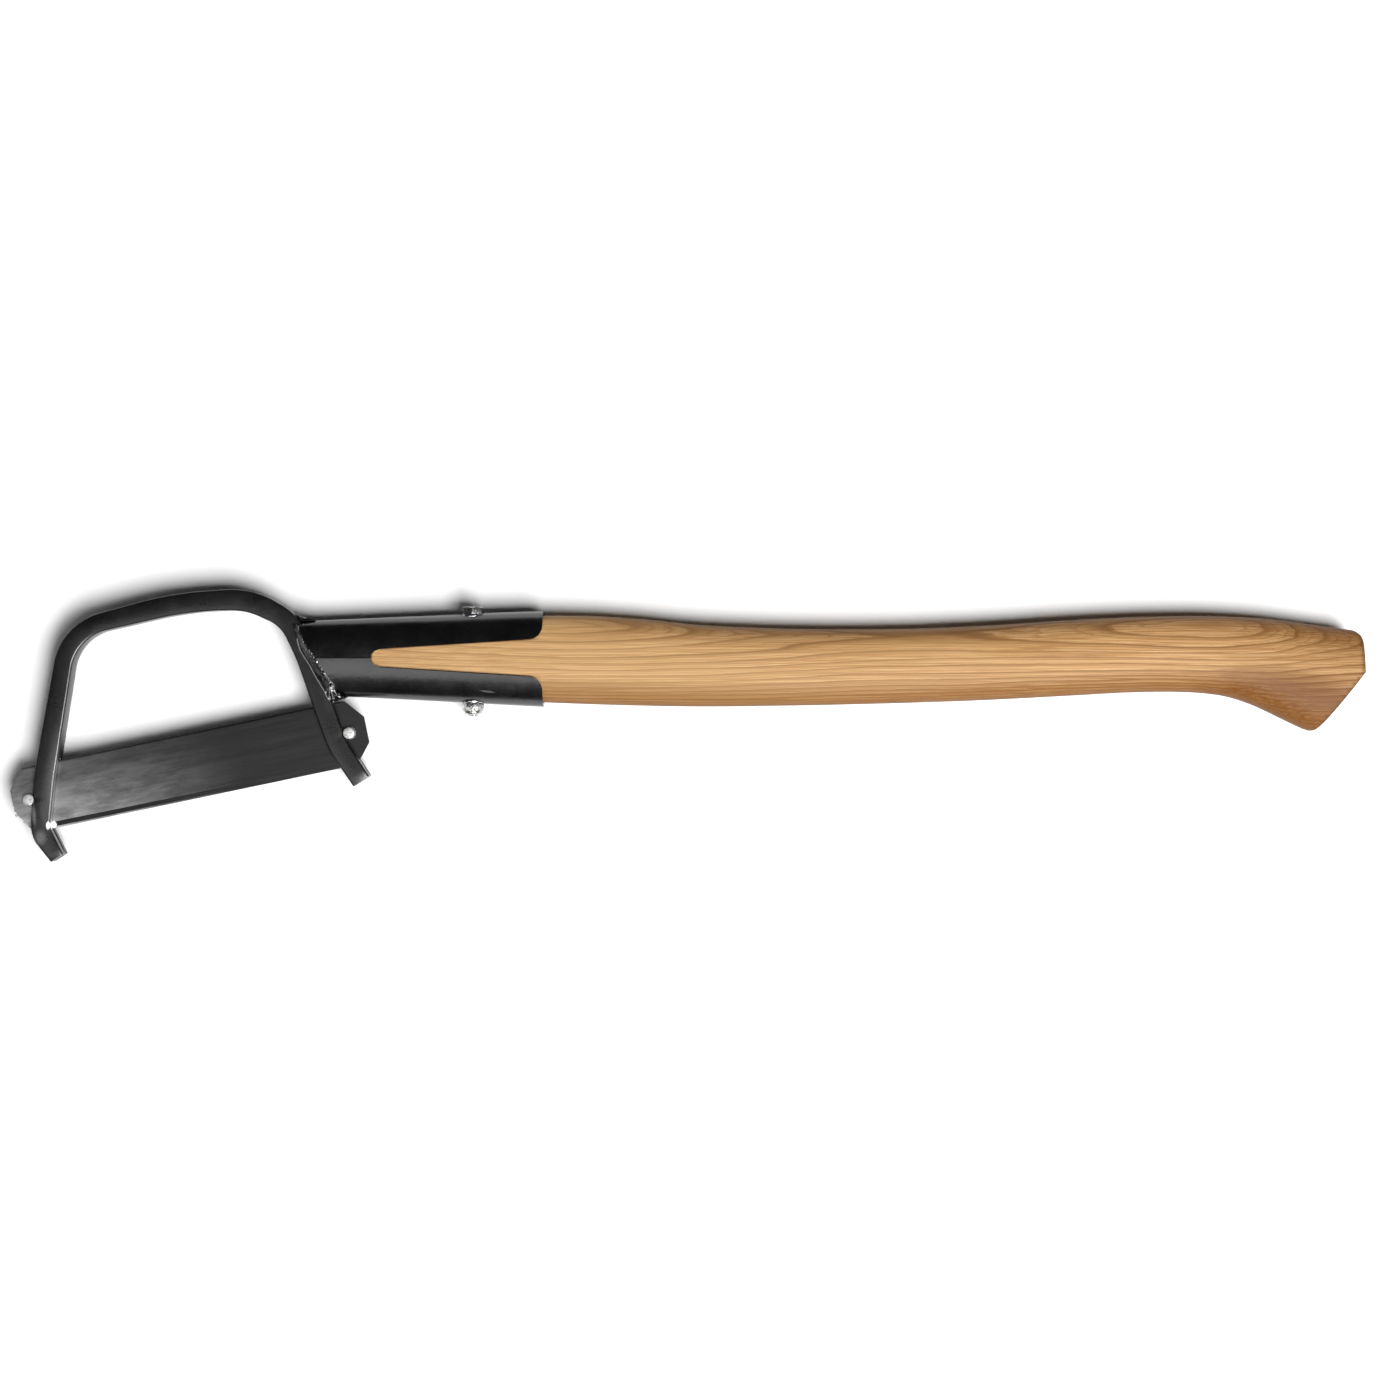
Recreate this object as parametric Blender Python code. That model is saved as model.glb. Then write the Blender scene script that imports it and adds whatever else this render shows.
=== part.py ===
"""Brush axe: a bent steel bow that holds a two-edged clearing blade, on a curved ash handle.

The tool lies on its side. +X runs along the handle to its butt, +Y is the back of the bow,
+Z is up, and the blade's working edge faces -Y. The pieces are laid out around the socket
bolt: X = 0 and Z = 0 on the bolt's axis, Y = 0 on the seam of the socket. The whole tool
then stands with the middle of its underside on the world origin.
"""

import math

import bmesh
import bpy
import numpy as np
from mathutils import Matrix, Vector

MM = 0.001

# Clearances
GAP = 0.3 * MM            # between pieces that touch
CLAMP_GAP = 0.15 * MM     # between pieces that the bolt clamps together

# Bow: a square bar, bent flat. Corners of its centre line: x, y, bend radius, bar width (mm).
BAR_THICKNESS = 10 * MM
BAR_CHAMFER = 0.9 * MM
BOW_CORNERS = (
    (-210.9, -101.5, 0, 7.4),     # tip of the far arm
    (-219.6, -87.8, 13, 9.9),
    (-217.4, -60.0, 150, 10.6),
    (-205.0, 14.3, 28, 9.5),
    (-148.0, 28.6, 180, 10.5),
    (-113.8, 30.2, 40, 10.8),
    (-93.0, 19.6, 24, 10.3),
    (-84.6, 1.0, 100, 10.0),
    (-68.7, -43.7, 40, 10.1),
    (-56.4, -62.4, 0, 9.8),       # tip of the near arm
)
ARC_STEP = math.radians(5)

# Blade: flat steel, ground on opposite faces so that either edge can face outwards
FAR_PIN = (-225.8 * MM, -72.1 * MM)
NEAR_PIN = (-62.9 * MM, -38.0 * MM)
BLADE_WIDTH = 33.4 * MM
BLADE_THICKNESS = 1.5 * MM
BEVEL_WIDTH = 3.2 * MM
EDGE_LAND = 0.2 * MM
BACK_BEVEL = (0.7 * MM, 0.25 * MM)      # width and depth of the small bevel behind each edge
TAB_LENGTH = 8.9 * MM                   # from the pin to the end of the blade
TAB_CORNER = 0.5 * MM                   # from the pin to where the corners are cut away
TAB_END_WIDTH = 13.4 * MM
SLOT_HEADROOM = 1.0 * MM                # slot above the blade's upper edge

# Blade pins, which sit in shallow notches in the outer edges of the arms
PIN_DIAMETER = 6.0 * MM
PIN_LENGTH = 7.0 * MM
PIN_CHAMFER = 0.25 * MM
NOTCH_DIAMETER = 6.9 * MM
PIN_HOLE_DIAMETER = 6.6 * MM

# Handle: upper edge, lower edge and half thickness along X (mm)
HANDLE_TOP = (
    (-85, 16.9), (-20, 19.6), (38, 21.8), (65, 21.4), (90, 19.7), (115, 17.1), (145, 15.6),
    (185, 14.85), (225, 15.2), (265, 16.9), (310, 19.8), (350, 21.4), (385, 21.3), (410, 19.6),
    (430, 16.9), (447, 14.6), (470, 11.5),
)
HANDLE_BOTTOM = (
    (-85, -16.2), (-20, -19.5), (38, -22.5), (75, -23.8), (112, -24.5), (160, -24.1),
    (210, -23.0), (260, -21.3), (305, -19.0), (335, -17.4), (357, -17.1), (372, -17.8),
    (385, -19.7), (398, -24.0), (412, -30.6), (419, -34.0), (425, -36.6), (432, -37.4),
    (470, -37.8),
)
HANDLE_HALF_THICKNESS = (
    (-85, 7.1), (-40, 9.0), (0, 10.5), (38, 11.7), (110, 12.0), (185, 12.2), (260, 12.6),
    (330, 13.2), (400, 13.8), (470, 13.9),
)
OVAL_POWER = 2.4          # 2 is an ellipse; more is squarer
OVAL_POINTS = 36
TONGUE_FRONT = -60 * MM   # front end of the wood inside the socket
HANDLE_STATION = 11 * MM
BLANK_END_X = 466 * MM    # end of the handle's form before the butt is cut
BUTT_X = 451.0 * MM
BUTT_CORNER_RADIUS = 6.5 * MM
BUTT_CORNER_DROP = 5.4 * MM             # from the upper edge to the centre of the corner
BUTT_CORNER_CUTS = (0, 18, 36, 54, 72)  # directions of the flats of the corner, degrees
HEEL = (BUTT_X, -7.2 * MM)              # where the butt face meets the slanted toe face
TOE_NORMAL = -38                        # direction the toe face looks in, degrees
TOE_ROUND = (424.0 * MM, -29.4 * MM, 8.0 * MM)   # centre and radius of the rounded toe
TOE_ROUND_CUTS = (-54, -70, -86)        # directions of the flats of the toe, degrees

# Socket: two pressed shells of sheet, an upper and a lower one, with a V opening on each side
SHEET = 2.0 * MM
MOUTH_X = 36.1 * MM
SOCKET_FRONT_X = -95 * MM
APEX_X = -50.5 * MM
APEX_RADIUS = 4.3 * MM
V_START = (-45.5 * MM, 4.7 * MM)
V_END = (MOUTH_X - 7 * MM, 9.4 * MM)
MOUTH_CORNER_RADIUS = 7.0 * MM
SHELL_FRONT = ((-91.0, 25.0), (-85.0, 9.2), (-70.7, -12.0), (-66.5, -23.0))   # mm

# Weld between bow and socket: toe line on the face of the arm, and height beside the shells
WELD_TOE = ((-91.4, 17.5), (-89.8, 11.3), (-88.0, 4.2), (-84.5, -1.0), (-79.3, -10.0),
            (-75.6, -16.6), (-73.2, -21.0))   # mm
WELD_HEIGHT = (1.2, 3.0, 3.5, 3.6, 3.5, 3.0, 0.9)   # mm

# Socket bolt, its washers and lock nut (6 mm thread), along Y
BOLT_DIAMETER = 6.0 * MM
BOLT_CLEARANCE_DIAMETER = 6.6 * MM
ACROSS_FLATS = 10.0 * MM
HEAD_HEIGHT = 3.8 * MM
WASHER_DIAMETER = 12.0 * MM
WASHER_HOLE_DIAMETER = 6.4 * MM
WASHER_THICKNESS = 1.4 * MM
SEAT_TOP = 20.7 * MM
SEAT_BOTTOM = -20.9 * MM
SEAT_DIAMETER = 12.8 * MM
BOSS_DIAMETER = 12.0 * MM
BOSS_RISE = 0.8 * MM      # of the pressed boss above its seat, before the seat is cut
POCKET_DEPTH = 10 * MM    # of the cutters that clear the seats
NUT_HEX_HEIGHT = 4.2 * MM
NUT_HEIGHT = 6.0 * MM
NUT_COLLAR_DIAMETER = 9.4 * MM
NUT_BORE_DIAMETER = 6.3 * MM
NUT_LIP = 0.4 * MM        # that holds the nylon ring in the collar
INSERT_DIAMETER = 8.2 * MM
INSERT_HEIGHT = 1.3 * MM
BOLT_TIP_Y = -29.4 * MM
ROUND_SEGMENTS = 32


# ---------------------------------------------------------------- scene and mesh helpers

def clear_scene():
    for old in list(bpy.data.objects):
        bpy.data.objects.remove(old, do_unlink=True)


def make_material(name, color, metallic, roughness):
    material = bpy.data.materials.new(name)
    material.use_nodes = True
    shader = material.node_tree.nodes["Principled BSDF"]
    shader.inputs["Base Color"].default_value = (*color, 1.0)
    shader.inputs["Metallic"].default_value = metallic
    shader.inputs["Roughness"].default_value = roughness
    return material


def add_object(name, bm, parent, material=None, location=(0, 0, 0), rotation=(0, 0, 0)):
    """Turn a bmesh into an object of its own, under the tool's empty."""
    bmesh.ops.recalc_face_normals(bm, faces=bm.faces)
    mesh = bpy.data.meshes.new(name)
    bm.to_mesh(mesh)
    bm.free()
    if material:
        mesh.materials.append(material)
        mesh.shade_smooth()
        mesh.set_sharp_from_angle(angle=math.radians(32))
    piece = bpy.data.objects.new(name, mesh)
    bpy.context.scene.collection.objects.link(piece)
    piece.parent = parent
    piece.location = location
    piece.rotation_euler = rotation
    return piece


def add_cutter(name, bm, parent, location=(0, 0, 0), rotation=(0, 0, 0)):
    cutter = add_object(name, bm, parent, None, location, rotation)
    cutter.hide_render = True
    cutter.display_type = "WIRE"
    return cutter


def combine(piece, tool, operation="DIFFERENCE"):
    modifier = piece.modifiers.new(tool.name, "BOOLEAN")
    modifier.operation = operation
    modifier.solver = "EXACT"
    modifier.object = tool


def loft(rings, closed=False):
    """Skin rings of equal length. Open lofts get end caps; closed ones join up again."""
    bm = bmesh.new()
    loops = [[bm.verts.new(point) for point in ring] for ring in rings]
    pairs = list(zip(loops, loops[1:]))
    if closed:
        pairs.append((loops[-1], loops[0]))
    else:
        bm.faces.new(loops[0])
        bm.faces.new(loops[-1])
    count = len(rings[0])
    for first, second in pairs:
        for i in range(count):
            j = (i + 1) % count
            bm.faces.new((first[i], first[j], second[j], second[i]))
    return bm


def prism(outline, low, high):
    """A flat outline in X and Y, extruded from one height to another."""
    return loft([[(x, y, z) for x, y in outline] for z in (low, high)])


def circle(radius, height, segments=ROUND_SEGMENTS, turn=0.0):
    angles = [turn + 2 * math.pi * i / segments for i in range(segments)]
    return [(radius * math.cos(a), radius * math.sin(a), height) for a in angles]


def turned(profile, closed=False):
    """A turned solid about Z from (radius, height) pairs; closed profiles make a ring."""
    return loft([circle(radius, height) for radius, height in profile], closed)


def drum(diameter, low, high, chamfer=0.0):
    """A plain round solid about Z, with chamfered ends where a chamfer is given."""
    radius = diameter / 2
    if not chamfer:
        return turned(((radius, low), (radius, high)))
    return turned(((radius - chamfer, low), (radius, low + chamfer),
                   (radius, high - chamfer), (radius - chamfer, high)))


def trim(bm, point, normal):
    """Cut everything off beyond a plane and close the cut."""
    geometry = bm.verts[:] + bm.edges[:] + bm.faces[:]
    bmesh.ops.bisect_plane(bm, geom=geometry, dist=1e-7, plane_co=point, plane_no=normal,
                           clear_outer=True)
    rim = [edge for edge in bm.edges if edge.is_boundary]
    bmesh.ops.holes_fill(bm, edges=rim, sides=0)


# ---------------------------------------------------------------- curves

def smooth_line(points):
    """A smooth function through (x, y) pairs in mm; takes and gives metres."""
    xs = np.array([x for x, _ in points]) * MM
    ys = np.array([y for _, y in points]) * MM
    slopes = np.gradient(ys, xs)

    def value(x):
        i = int(np.clip(np.searchsorted(xs, x) - 1, 0, len(xs) - 2))
        span = xs[i + 1] - xs[i]
        t = (x - xs[i]) / span
        blend = t * t * (3 - 2 * t)
        start = slopes[i] * span * t * (1 - t) ** 2
        end = -slopes[i + 1] * span * t * t * (1 - t)
        return float(ys[i] * (1 - blend) + ys[i + 1] * blend + start + end)

    return value


HANDLE_TOP_AT = smooth_line(HANDLE_TOP)
HANDLE_BOTTOM_AT = smooth_line(HANDLE_BOTTOM)
HANDLE_HALF_AT = smooth_line(HANDLE_HALF_THICKNESS)


def heading(degrees):
    """Unit vector in the XY plane."""
    angle = math.radians(degrees)
    return Vector((math.cos(angle), math.sin(angle), 0))


def arc(center, radius, start, end, steps):
    """Points on an arc, angles in degrees."""
    angles = np.radians(np.linspace(start, end, steps))
    return [(center[0] + radius * math.cos(a), center[1] + radius * math.sin(a)) for a in angles]


def rounded_path(corners):
    """Centre line through rounded corners, as (point, direction, width) in metres."""
    points = [Vector((x, y)) * MM for x, y, _, _ in corners]
    first_way = (points[1] - points[0]).normalized()
    path = [(points[0], first_way, corners[0][3] * MM)]
    for i in range(1, len(points) - 1):
        way_in = (points[i] - points[i - 1]).normalized()
        way_out = (points[i + 1] - points[i]).normalized()
        turn = way_in.angle_signed(way_out)
        radius = corners[i][2] * MM
        side = math.copysign(1, turn)
        inward = Vector((way_in.y, -way_in.x)) * side
        start = points[i] - way_in * radius * math.tan(abs(turn) / 2)
        center = start + inward * radius
        steps = max(2, math.ceil(abs(turn) / ARC_STEP))
        for k in range(steps + 1):
            angle = -turn * k / steps
            spoke = Matrix.Rotation(angle, 2) @ (start - center)
            way = Matrix.Rotation(angle, 2) @ way_in
            path.append((center + spoke, way, corners[i][3] * MM))
    last_way = (points[-1] - points[-2]).normalized()
    path.append((points[-1], last_way, corners[-1][3] * MM))
    return path


# ---------------------------------------------------------------- bow and blade

def bar_section(sample):
    """Chamfered square section of the bow's bar at one sample of its path."""
    point, way, width = sample
    across = Vector((-way.y, way.x))
    a = width / 2
    b = BAR_THICKNESS / 2
    c = BAR_CHAMFER
    corners = ((a, b - c), (a - c, b), (c - a, b), (-a, b - c),
               (-a, c - b), (c - a, -b), (a - c, -b), (a, c - b))
    ring = []
    for offset, z in corners:
        place = point + across * offset
        ring.append((place.x, place.y, z))
    return ring


def blade_pose():
    """Middle of the blade, its slope in the XY plane, and the distance between its pins."""
    span = Vector(NEAR_PIN) - Vector(FAR_PIN)
    middle = (Vector(NEAR_PIN) + Vector(FAR_PIN)) / 2
    return middle, math.atan2(span.y, span.x), span.length


def make_bow(parent, material):
    middle, slope, spacing = blade_pose()
    bow = add_object("bow_frame", loft([bar_section(s) for s in rounded_path(BOW_CORNERS)]),
                     parent, material)
    half = BLADE_THICKNESS / 2 + GAP
    reach = spacing / 2 + 40 * MM
    top = BLADE_WIDTH / 2 + SLOT_HEADROOM
    slot = prism(((-reach, -90 * MM), (reach, -90 * MM), (reach, top), (-reach, top)), -half, half)
    combine(bow, add_cutter("cut_blade_slot", slot, parent, (*middle, 0), (0, 0, slope)))
    for name, pin in (("cut_far_notch", FAR_PIN), ("cut_near_notch", NEAR_PIN)):
        notch = drum(NOTCH_DIAMETER, -BAR_THICKNESS, BAR_THICKNESS)
        combine(bow, add_cutter(name, notch, parent, (*pin, 0)))
    return bow


def make_blade(parent, material):
    middle, slope, spacing = blade_pose()
    half_width = BLADE_WIDTH / 2
    half_thickness = BLADE_THICKNESS / 2
    small_width, small_depth = BACK_BEVEL
    edge_side = (
        (half_width - small_width, half_thickness),
        (half_width, half_thickness - small_depth),
        (half_width, half_thickness - small_depth - EDGE_LAND),
        (half_width - BEVEL_WIDTH, -half_thickness),
    )
    section = edge_side + tuple((-y, -z) for y, z in edge_side)
    end = spacing / 2 + TAB_LENGTH
    bm = loft([[(x, y, z) for y, z in section] for x in (-end, end)])
    corner = Vector((spacing / 2 + TAB_CORNER, half_width, 0))
    tab_end = Vector((end, TAB_END_WIDTH / 2, 0))
    normal = Vector((corner.y - tab_end.y, tab_end.x - corner.x, 0)).normalized()
    for side_x in (-1, 1):
        for side_y in (-1, 1):
            mirror = Vector((side_x, side_y, 1))
            trim(bm, corner * mirror, normal * mirror)
    blade = add_object("blade", bm, parent, material, (*middle, 0), (0, 0, slope))
    for name, pin in (("cut_far_pin_hole", FAR_PIN), ("cut_near_pin_hole", NEAR_PIN)):
        hole = drum(PIN_HOLE_DIAMETER, -BAR_THICKNESS / 2, BAR_THICKNESS / 2)
        combine(blade, add_cutter(name, hole, parent, (*pin, 0)))
    return blade


def make_pins(parent, material):
    for name, pin in (("far_blade_pin", FAR_PIN), ("near_blade_pin", NEAR_PIN)):
        bm = drum(PIN_DIAMETER, -PIN_LENGTH / 2, PIN_LENGTH / 2, PIN_CHAMFER)
        add_object(name, bm, parent, material, (*pin, 0))


# ---------------------------------------------------------------- handle and socket

def oval_ring(x, grow):
    """Section of the handle at x, grown outwards, as an oval that is flatter at the sides."""
    top = HANDLE_TOP_AT(x) + grow
    bottom = HANDLE_BOTTOM_AT(x) - grow
    half = HANDLE_HALF_AT(x) + grow
    middle = (top + bottom) / 2
    height = (top - bottom) / 2
    ring = []
    for i in range(OVAL_POINTS):
        a = 2 * math.pi * i / OVAL_POINTS
        c = math.cos(a)
        s = math.sin(a)
        y = middle + height * math.copysign(abs(c) ** (2 / OVAL_POWER), c)
        z = half * math.copysign(abs(s) ** (2 / OVAL_POWER), s)
        ring.append((x, y, z))
    return ring


def oval_loft(start, end, step, grow=0.0):
    stations = np.linspace(start, end, max(2, round((end - start) / step) + 1))
    return loft([oval_ring(float(x), grow) for x in stations])


def bolt_turn():
    """Rotation that lays a piece made about Z along the bolt, its top towards +Y."""
    return (-math.pi / 2, 0, 0)


def make_handle(parent, material):
    bm = oval_loft(TONGUE_FRONT, BLANK_END_X, HANDLE_STATION)
    corner_y = HANDLE_TOP_AT(BUTT_X) - BUTT_CORNER_DROP
    corner = Vector((BUTT_X - BUTT_CORNER_RADIUS, corner_y, 0))
    for degrees in BUTT_CORNER_CUTS:
        way = heading(degrees)
        trim(bm, corner + way * BUTT_CORNER_RADIUS, way)
    trim(bm, Vector((*HEEL, 0)), heading(TOE_NORMAL))
    toe = Vector((TOE_ROUND[0], TOE_ROUND[1], 0))
    for degrees in TOE_ROUND_CUTS:
        way = heading(degrees)
        trim(bm, toe + way * TOE_ROUND[2], way)
    handle = add_object("handle", bm, parent, material)
    bore = drum(BOLT_CLEARANCE_DIAMETER, -30 * MM, 30 * MM)
    combine(handle, add_cutter("cut_handle_bore", bore, parent, rotation=bolt_turn()))
    relief = BOSS_DIAMETER + 2 * GAP
    floor = SHEET + GAP
    top = drum(relief, SEAT_TOP - floor, SEAT_TOP + POCKET_DEPTH)
    combine(handle, add_cutter("cut_relief_top", top, parent, rotation=bolt_turn()))
    bottom = drum(relief, SEAT_BOTTOM - POCKET_DEPTH, SEAT_BOTTOM + floor)
    combine(handle, add_cutter("cut_relief_bottom", bottom, parent, rotation=bolt_turn()))
    return handle


def opening_outline():
    """Outline of the V between the shells, seen along Z, open beyond the mouth."""
    nose = arc((APEX_X + APEX_RADIUS, 0), APEX_RADIUS, 180, 105, 6)
    slope = math.degrees(math.atan2(V_END[1] - V_START[1], V_END[0] - V_START[0]))
    corner_center = (V_END[0], V_END[1] + MOUTH_CORNER_RADIUS)
    corner = arc(corner_center, MOUTH_CORNER_RADIUS, -90 + slope, 0, 6)
    beyond = MOUTH_X + 20 * MM
    upper = nose + [V_START] + corner
    upper += [(corner[-1][0], corner[-1][1] + 3 * MM), (beyond, corner[-1][1] + 3 * MM)]
    lower = [(x, -y) for x, y in reversed(upper[1:])]
    return upper + lower


def shell_front_outline():
    """Everything in front of the shells' slanted front edge."""
    edge = [(x * MM, y * MM) for x, y in SHELL_FRONT]
    far = -130 * MM
    return edge + [(far, edge[-1][1]), (far, edge[0][1])]


def arm_clearance():
    """The bar of the bow with a gap all round, which the shells straddle."""
    grown = [(x, y, radius, width + 2 * GAP / MM) for x, y, radius, width in BOW_CORNERS]
    rings = []
    for point, way, width in rounded_path(grown):
        across = Vector((-way.y, way.x)) * width / 2
        half = BAR_THICKNESS / 2 + GAP
        left = point + across
        right = point - across
        rings.append([(left.x, left.y, half), (right.x, right.y, half),
                      (right.x, right.y, -half), (left.x, left.y, -half)])
    return loft(rings)


def make_socket(parent, material):
    """Two shells: the upper one (towards +Y) and the lower one."""
    core = add_cutter("cut_socket_core", oval_loft(SOCKET_FRONT_X - 9 * MM, MOUTH_X + 9 * MM,
                                                   HANDLE_STATION, GAP), parent)
    opening = add_cutter("cut_socket_opening", prism(opening_outline(), -40 * MM, 40 * MM), parent)
    front = add_cutter("cut_socket_front", prism(shell_front_outline(), -40 * MM, 40 * MM), parent)
    arm = add_cutter("cut_socket_arm", arm_clearance(), parent)
    hole = add_cutter("cut_socket_bolt", drum(BOLT_CLEARANCE_DIAMETER, -40 * MM, 40 * MM), parent,
                      rotation=bolt_turn())
    for name, side, seat in (("upper_socket_shell", 1, SEAT_TOP),
                             ("lower_socket_shell", -1, SEAT_BOTTOM)):
        blank = oval_loft(SOCKET_FRONT_X, MOUTH_X, HANDLE_STATION, GAP + SHEET)
        shell = add_object(name, blank, parent, material)
        combine(shell, core)
        depth = sorted((seat - side * SHEET, seat + side * BOSS_RISE))
        boss = add_cutter("add_boss_" + name, drum(BOSS_DIAMETER, *depth), parent,
                          rotation=bolt_turn())
        combine(shell, boss, "UNION")
        pocket = drum(SEAT_DIAMETER, *sorted((seat, seat + side * POCKET_DEPTH)))
        combine(shell, add_cutter("cut_seat_" + name, pocket, parent, rotation=bolt_turn()))
        combine(shell, hole)
        seam = side * GAP / 2
        far_side = -side * 60 * MM
        half_space = prism(((-130 * MM, seam), (60 * MM, seam), (60 * MM, far_side),
                            (-130 * MM, far_side)), -40 * MM, 40 * MM)
        combine(shell, add_cutter("cut_half_" + name, half_space, parent))
        combine(shell, opening)
        combine(shell, front)
        combine(shell, arm)


# ---------------------------------------------------------------- welds

def front_edge_at(y):
    """X of the shells' front edge at a height y along the arm."""
    ys = [point[1] * MM for point in reversed(SHELL_FRONT)]
    xs = [point[0] * MM for point in reversed(SHELL_FRONT)]
    return float(np.interp(y, ys, xs))


def side_weld(side):
    """Fillet weld on one face of the arm, running up against the shells' front edges."""
    base = BAR_THICKNESS / 2 + GAP
    toe_ys = [y for _, y in reversed(WELD_TOE)]
    toe_xs = [x for x, _ in reversed(WELD_TOE)]
    heights = WELD_HEIGHT[::-1]
    kinks = [y for _, y in SHELL_FRONT if toe_ys[0] < y < toe_ys[-1]]
    rings = []
    for y in sorted(toe_ys + kinks):
        wall = front_edge_at(y * MM) - GAP
        width = wall - float(np.interp(y, toe_ys, toe_xs)) * MM
        height = float(np.interp(y, toe_ys, heights)) * MM
        ring = [(wall, y * MM, side * base)]
        for a in np.radians((90, 65, 42, 20, 0)):
            x = wall - width * (1 - math.cos(math.pi / 2 - a))
            z = base + height * math.sin(a)
            ring.append((x, y * MM, side * z))
        rings.append(ring)
    return loft(rings)


def back_weld():
    """Fillet in the corner between the back of the bow and the upper shell."""
    outline = ((-90.2, 22.6), (-88.3, 20.4), (-87.6, 19.55), (-80.0, 19.8), (-84.0, 20.4),
               (-87.6, 21.5))   # mm
    return prism([(x * MM, y * MM) for x, y in outline], -4.2 * MM, 4.2 * MM)


def arm_edge_at(y):
    """X just outside the near arm's outer edge, along its straight stretch beside the socket."""
    start, end = (Vector(BOW_CORNERS[i][:2]) * MM for i in (7, 8))
    way = (end - start).normalized()
    middle = start.x + (y - start.y) * way.x / way.y
    half_width = BOW_CORNERS[8][3] * MM / 2
    return middle + (half_width + GAP) / abs(way.y)


def throat_weld():
    """Fillet between the outer edge of the arm and the front of the lower shell."""
    half = BAR_THICKNESS / 2 - 0.2 * MM
    top, kink, floor, lowest = (y * MM for y in (-9.5, -12.0, -19.7, -21.7))
    outline = [(arm_edge_at(top), top)]
    outline += [(front_edge_at(y) - GAP, y) for y in (top, kink, floor)]
    outline += [(-64.5 * MM, -19.95 * MM), (-66.8 * MM, -20.9 * MM), (arm_edge_at(lowest), lowest)]
    return prism(outline, -half, half)


def make_welds(parent, material):
    add_object("front_side_weld", side_weld(1), parent, material)
    add_object("back_side_weld", side_weld(-1), parent, material)
    add_object("upper_weld", back_weld(), parent, material)
    add_object("lower_weld", throat_weld(), parent, material)


# ---------------------------------------------------------------- fasteners

def hexagon(height_low, height_high, turn):
    radius = ACROSS_FLATS / math.sqrt(3)
    return loft([circle(radius, z, 6, turn) for z in (height_low, height_high)])


def chamfer_form(low, high):
    """Turned form whose cones take the corners off a hexagon."""
    wide = ACROSS_FLATS * 0.62
    face = ACROSS_FLATS * 0.475
    drop = (wide - face) * math.tan(math.radians(30))
    return turned(((face, low), (wide, low + drop), (wide, high - drop), (face, high)))


def make_bolt(parent, material):
    under_head = SEAT_TOP + CLAMP_GAP + WASHER_THICKNESS + CLAMP_GAP
    top = under_head + HEAD_HEIGHT
    turn = bolt_turn()
    bolt = add_object("socket_bolt", hexagon(under_head, top, math.pi / 2), parent, material,
                      rotation=turn)
    form = chamfer_form(under_head, top)
    combine(bolt, add_cutter("form_bolt_head", form, parent, rotation=turn), "INTERSECT")
    radius = BOLT_DIAMETER / 2
    shank = turned(((radius - 0.7 * MM, BOLT_TIP_Y), (radius, BOLT_TIP_Y + 0.7 * MM),
                    (radius, under_head + 1.0 * MM)))
    combine(bolt, add_cutter("add_bolt_shank", shank, parent, rotation=turn), "UNION")


def washer(low):
    inner = WASHER_HOLE_DIAMETER / 2
    outer = WASHER_DIAMETER / 2
    high = low + WASHER_THICKNESS
    edge = 0.2 * MM
    return turned(((inner, low), (outer - edge, low), (outer, low + edge), (outer, high - edge),
                   (outer - edge, high), (inner, high)), closed=True)


def make_washers(parent, material):
    turn = bolt_turn()
    add_object("head_washer", washer(SEAT_TOP + CLAMP_GAP), parent, material, rotation=turn)
    low = SEAT_BOTTOM - CLAMP_GAP - WASHER_THICKNESS
    add_object("nut_washer", washer(low), parent, material, rotation=turn)


def make_lock_nut(parent, nut_material, insert_material):
    """Nut with a round collar, in which a nylon ring grips the thread."""
    turn = bolt_turn()
    high = SEAT_BOTTOM - 2 * CLAMP_GAP - WASHER_THICKNESS
    low = high - NUT_HEIGHT
    shoulder = high - NUT_HEX_HEIGHT
    nut = add_object("lock_nut", hexagon(shoulder, high, 0.0), parent, nut_material, rotation=turn)
    form = chamfer_form(shoulder, high)
    combine(nut, add_cutter("form_lock_nut", form, parent, rotation=turn), "INTERSECT")
    collar = NUT_COLLAR_DIAMETER / 2
    dome = turned(((collar, high - 1 * MM), (collar, low + 1 * MM),
                   (collar - 0.3 * MM, low + 0.4 * MM), (collar - 0.9 * MM, low)))
    combine(nut, add_cutter("add_nut_collar", dome, parent, rotation=turn), "UNION")
    bore = NUT_BORE_DIAMETER / 2
    room = INSERT_DIAMETER / 2 + CLAMP_GAP
    mouth = room - 0.5 * MM
    roof = low + NUT_LIP + INSERT_HEIGHT + 2 * CLAMP_GAP
    hollow = turned(((mouth, low - 1 * MM), (mouth, low + NUT_LIP), (room, low + NUT_LIP),
                     (room, roof), (bore, roof), (bore, high + 1 * MM)))
    combine(nut, add_cutter("cut_nut_bore", hollow, parent, rotation=turn))
    ring_low = low + NUT_LIP + CLAMP_GAP
    ring_high = ring_low + INSERT_HEIGHT
    inner = BOLT_DIAMETER / 2 + CLAMP_GAP
    outer = INSERT_DIAMETER / 2
    ring = turned(((inner, ring_low), (outer, ring_low), (outer, ring_high), (inner, ring_high)),
                  closed=True)
    add_object("nut_insert", ring, parent, insert_material, rotation=turn)


# ---------------------------------------------------------------- assembly

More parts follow.
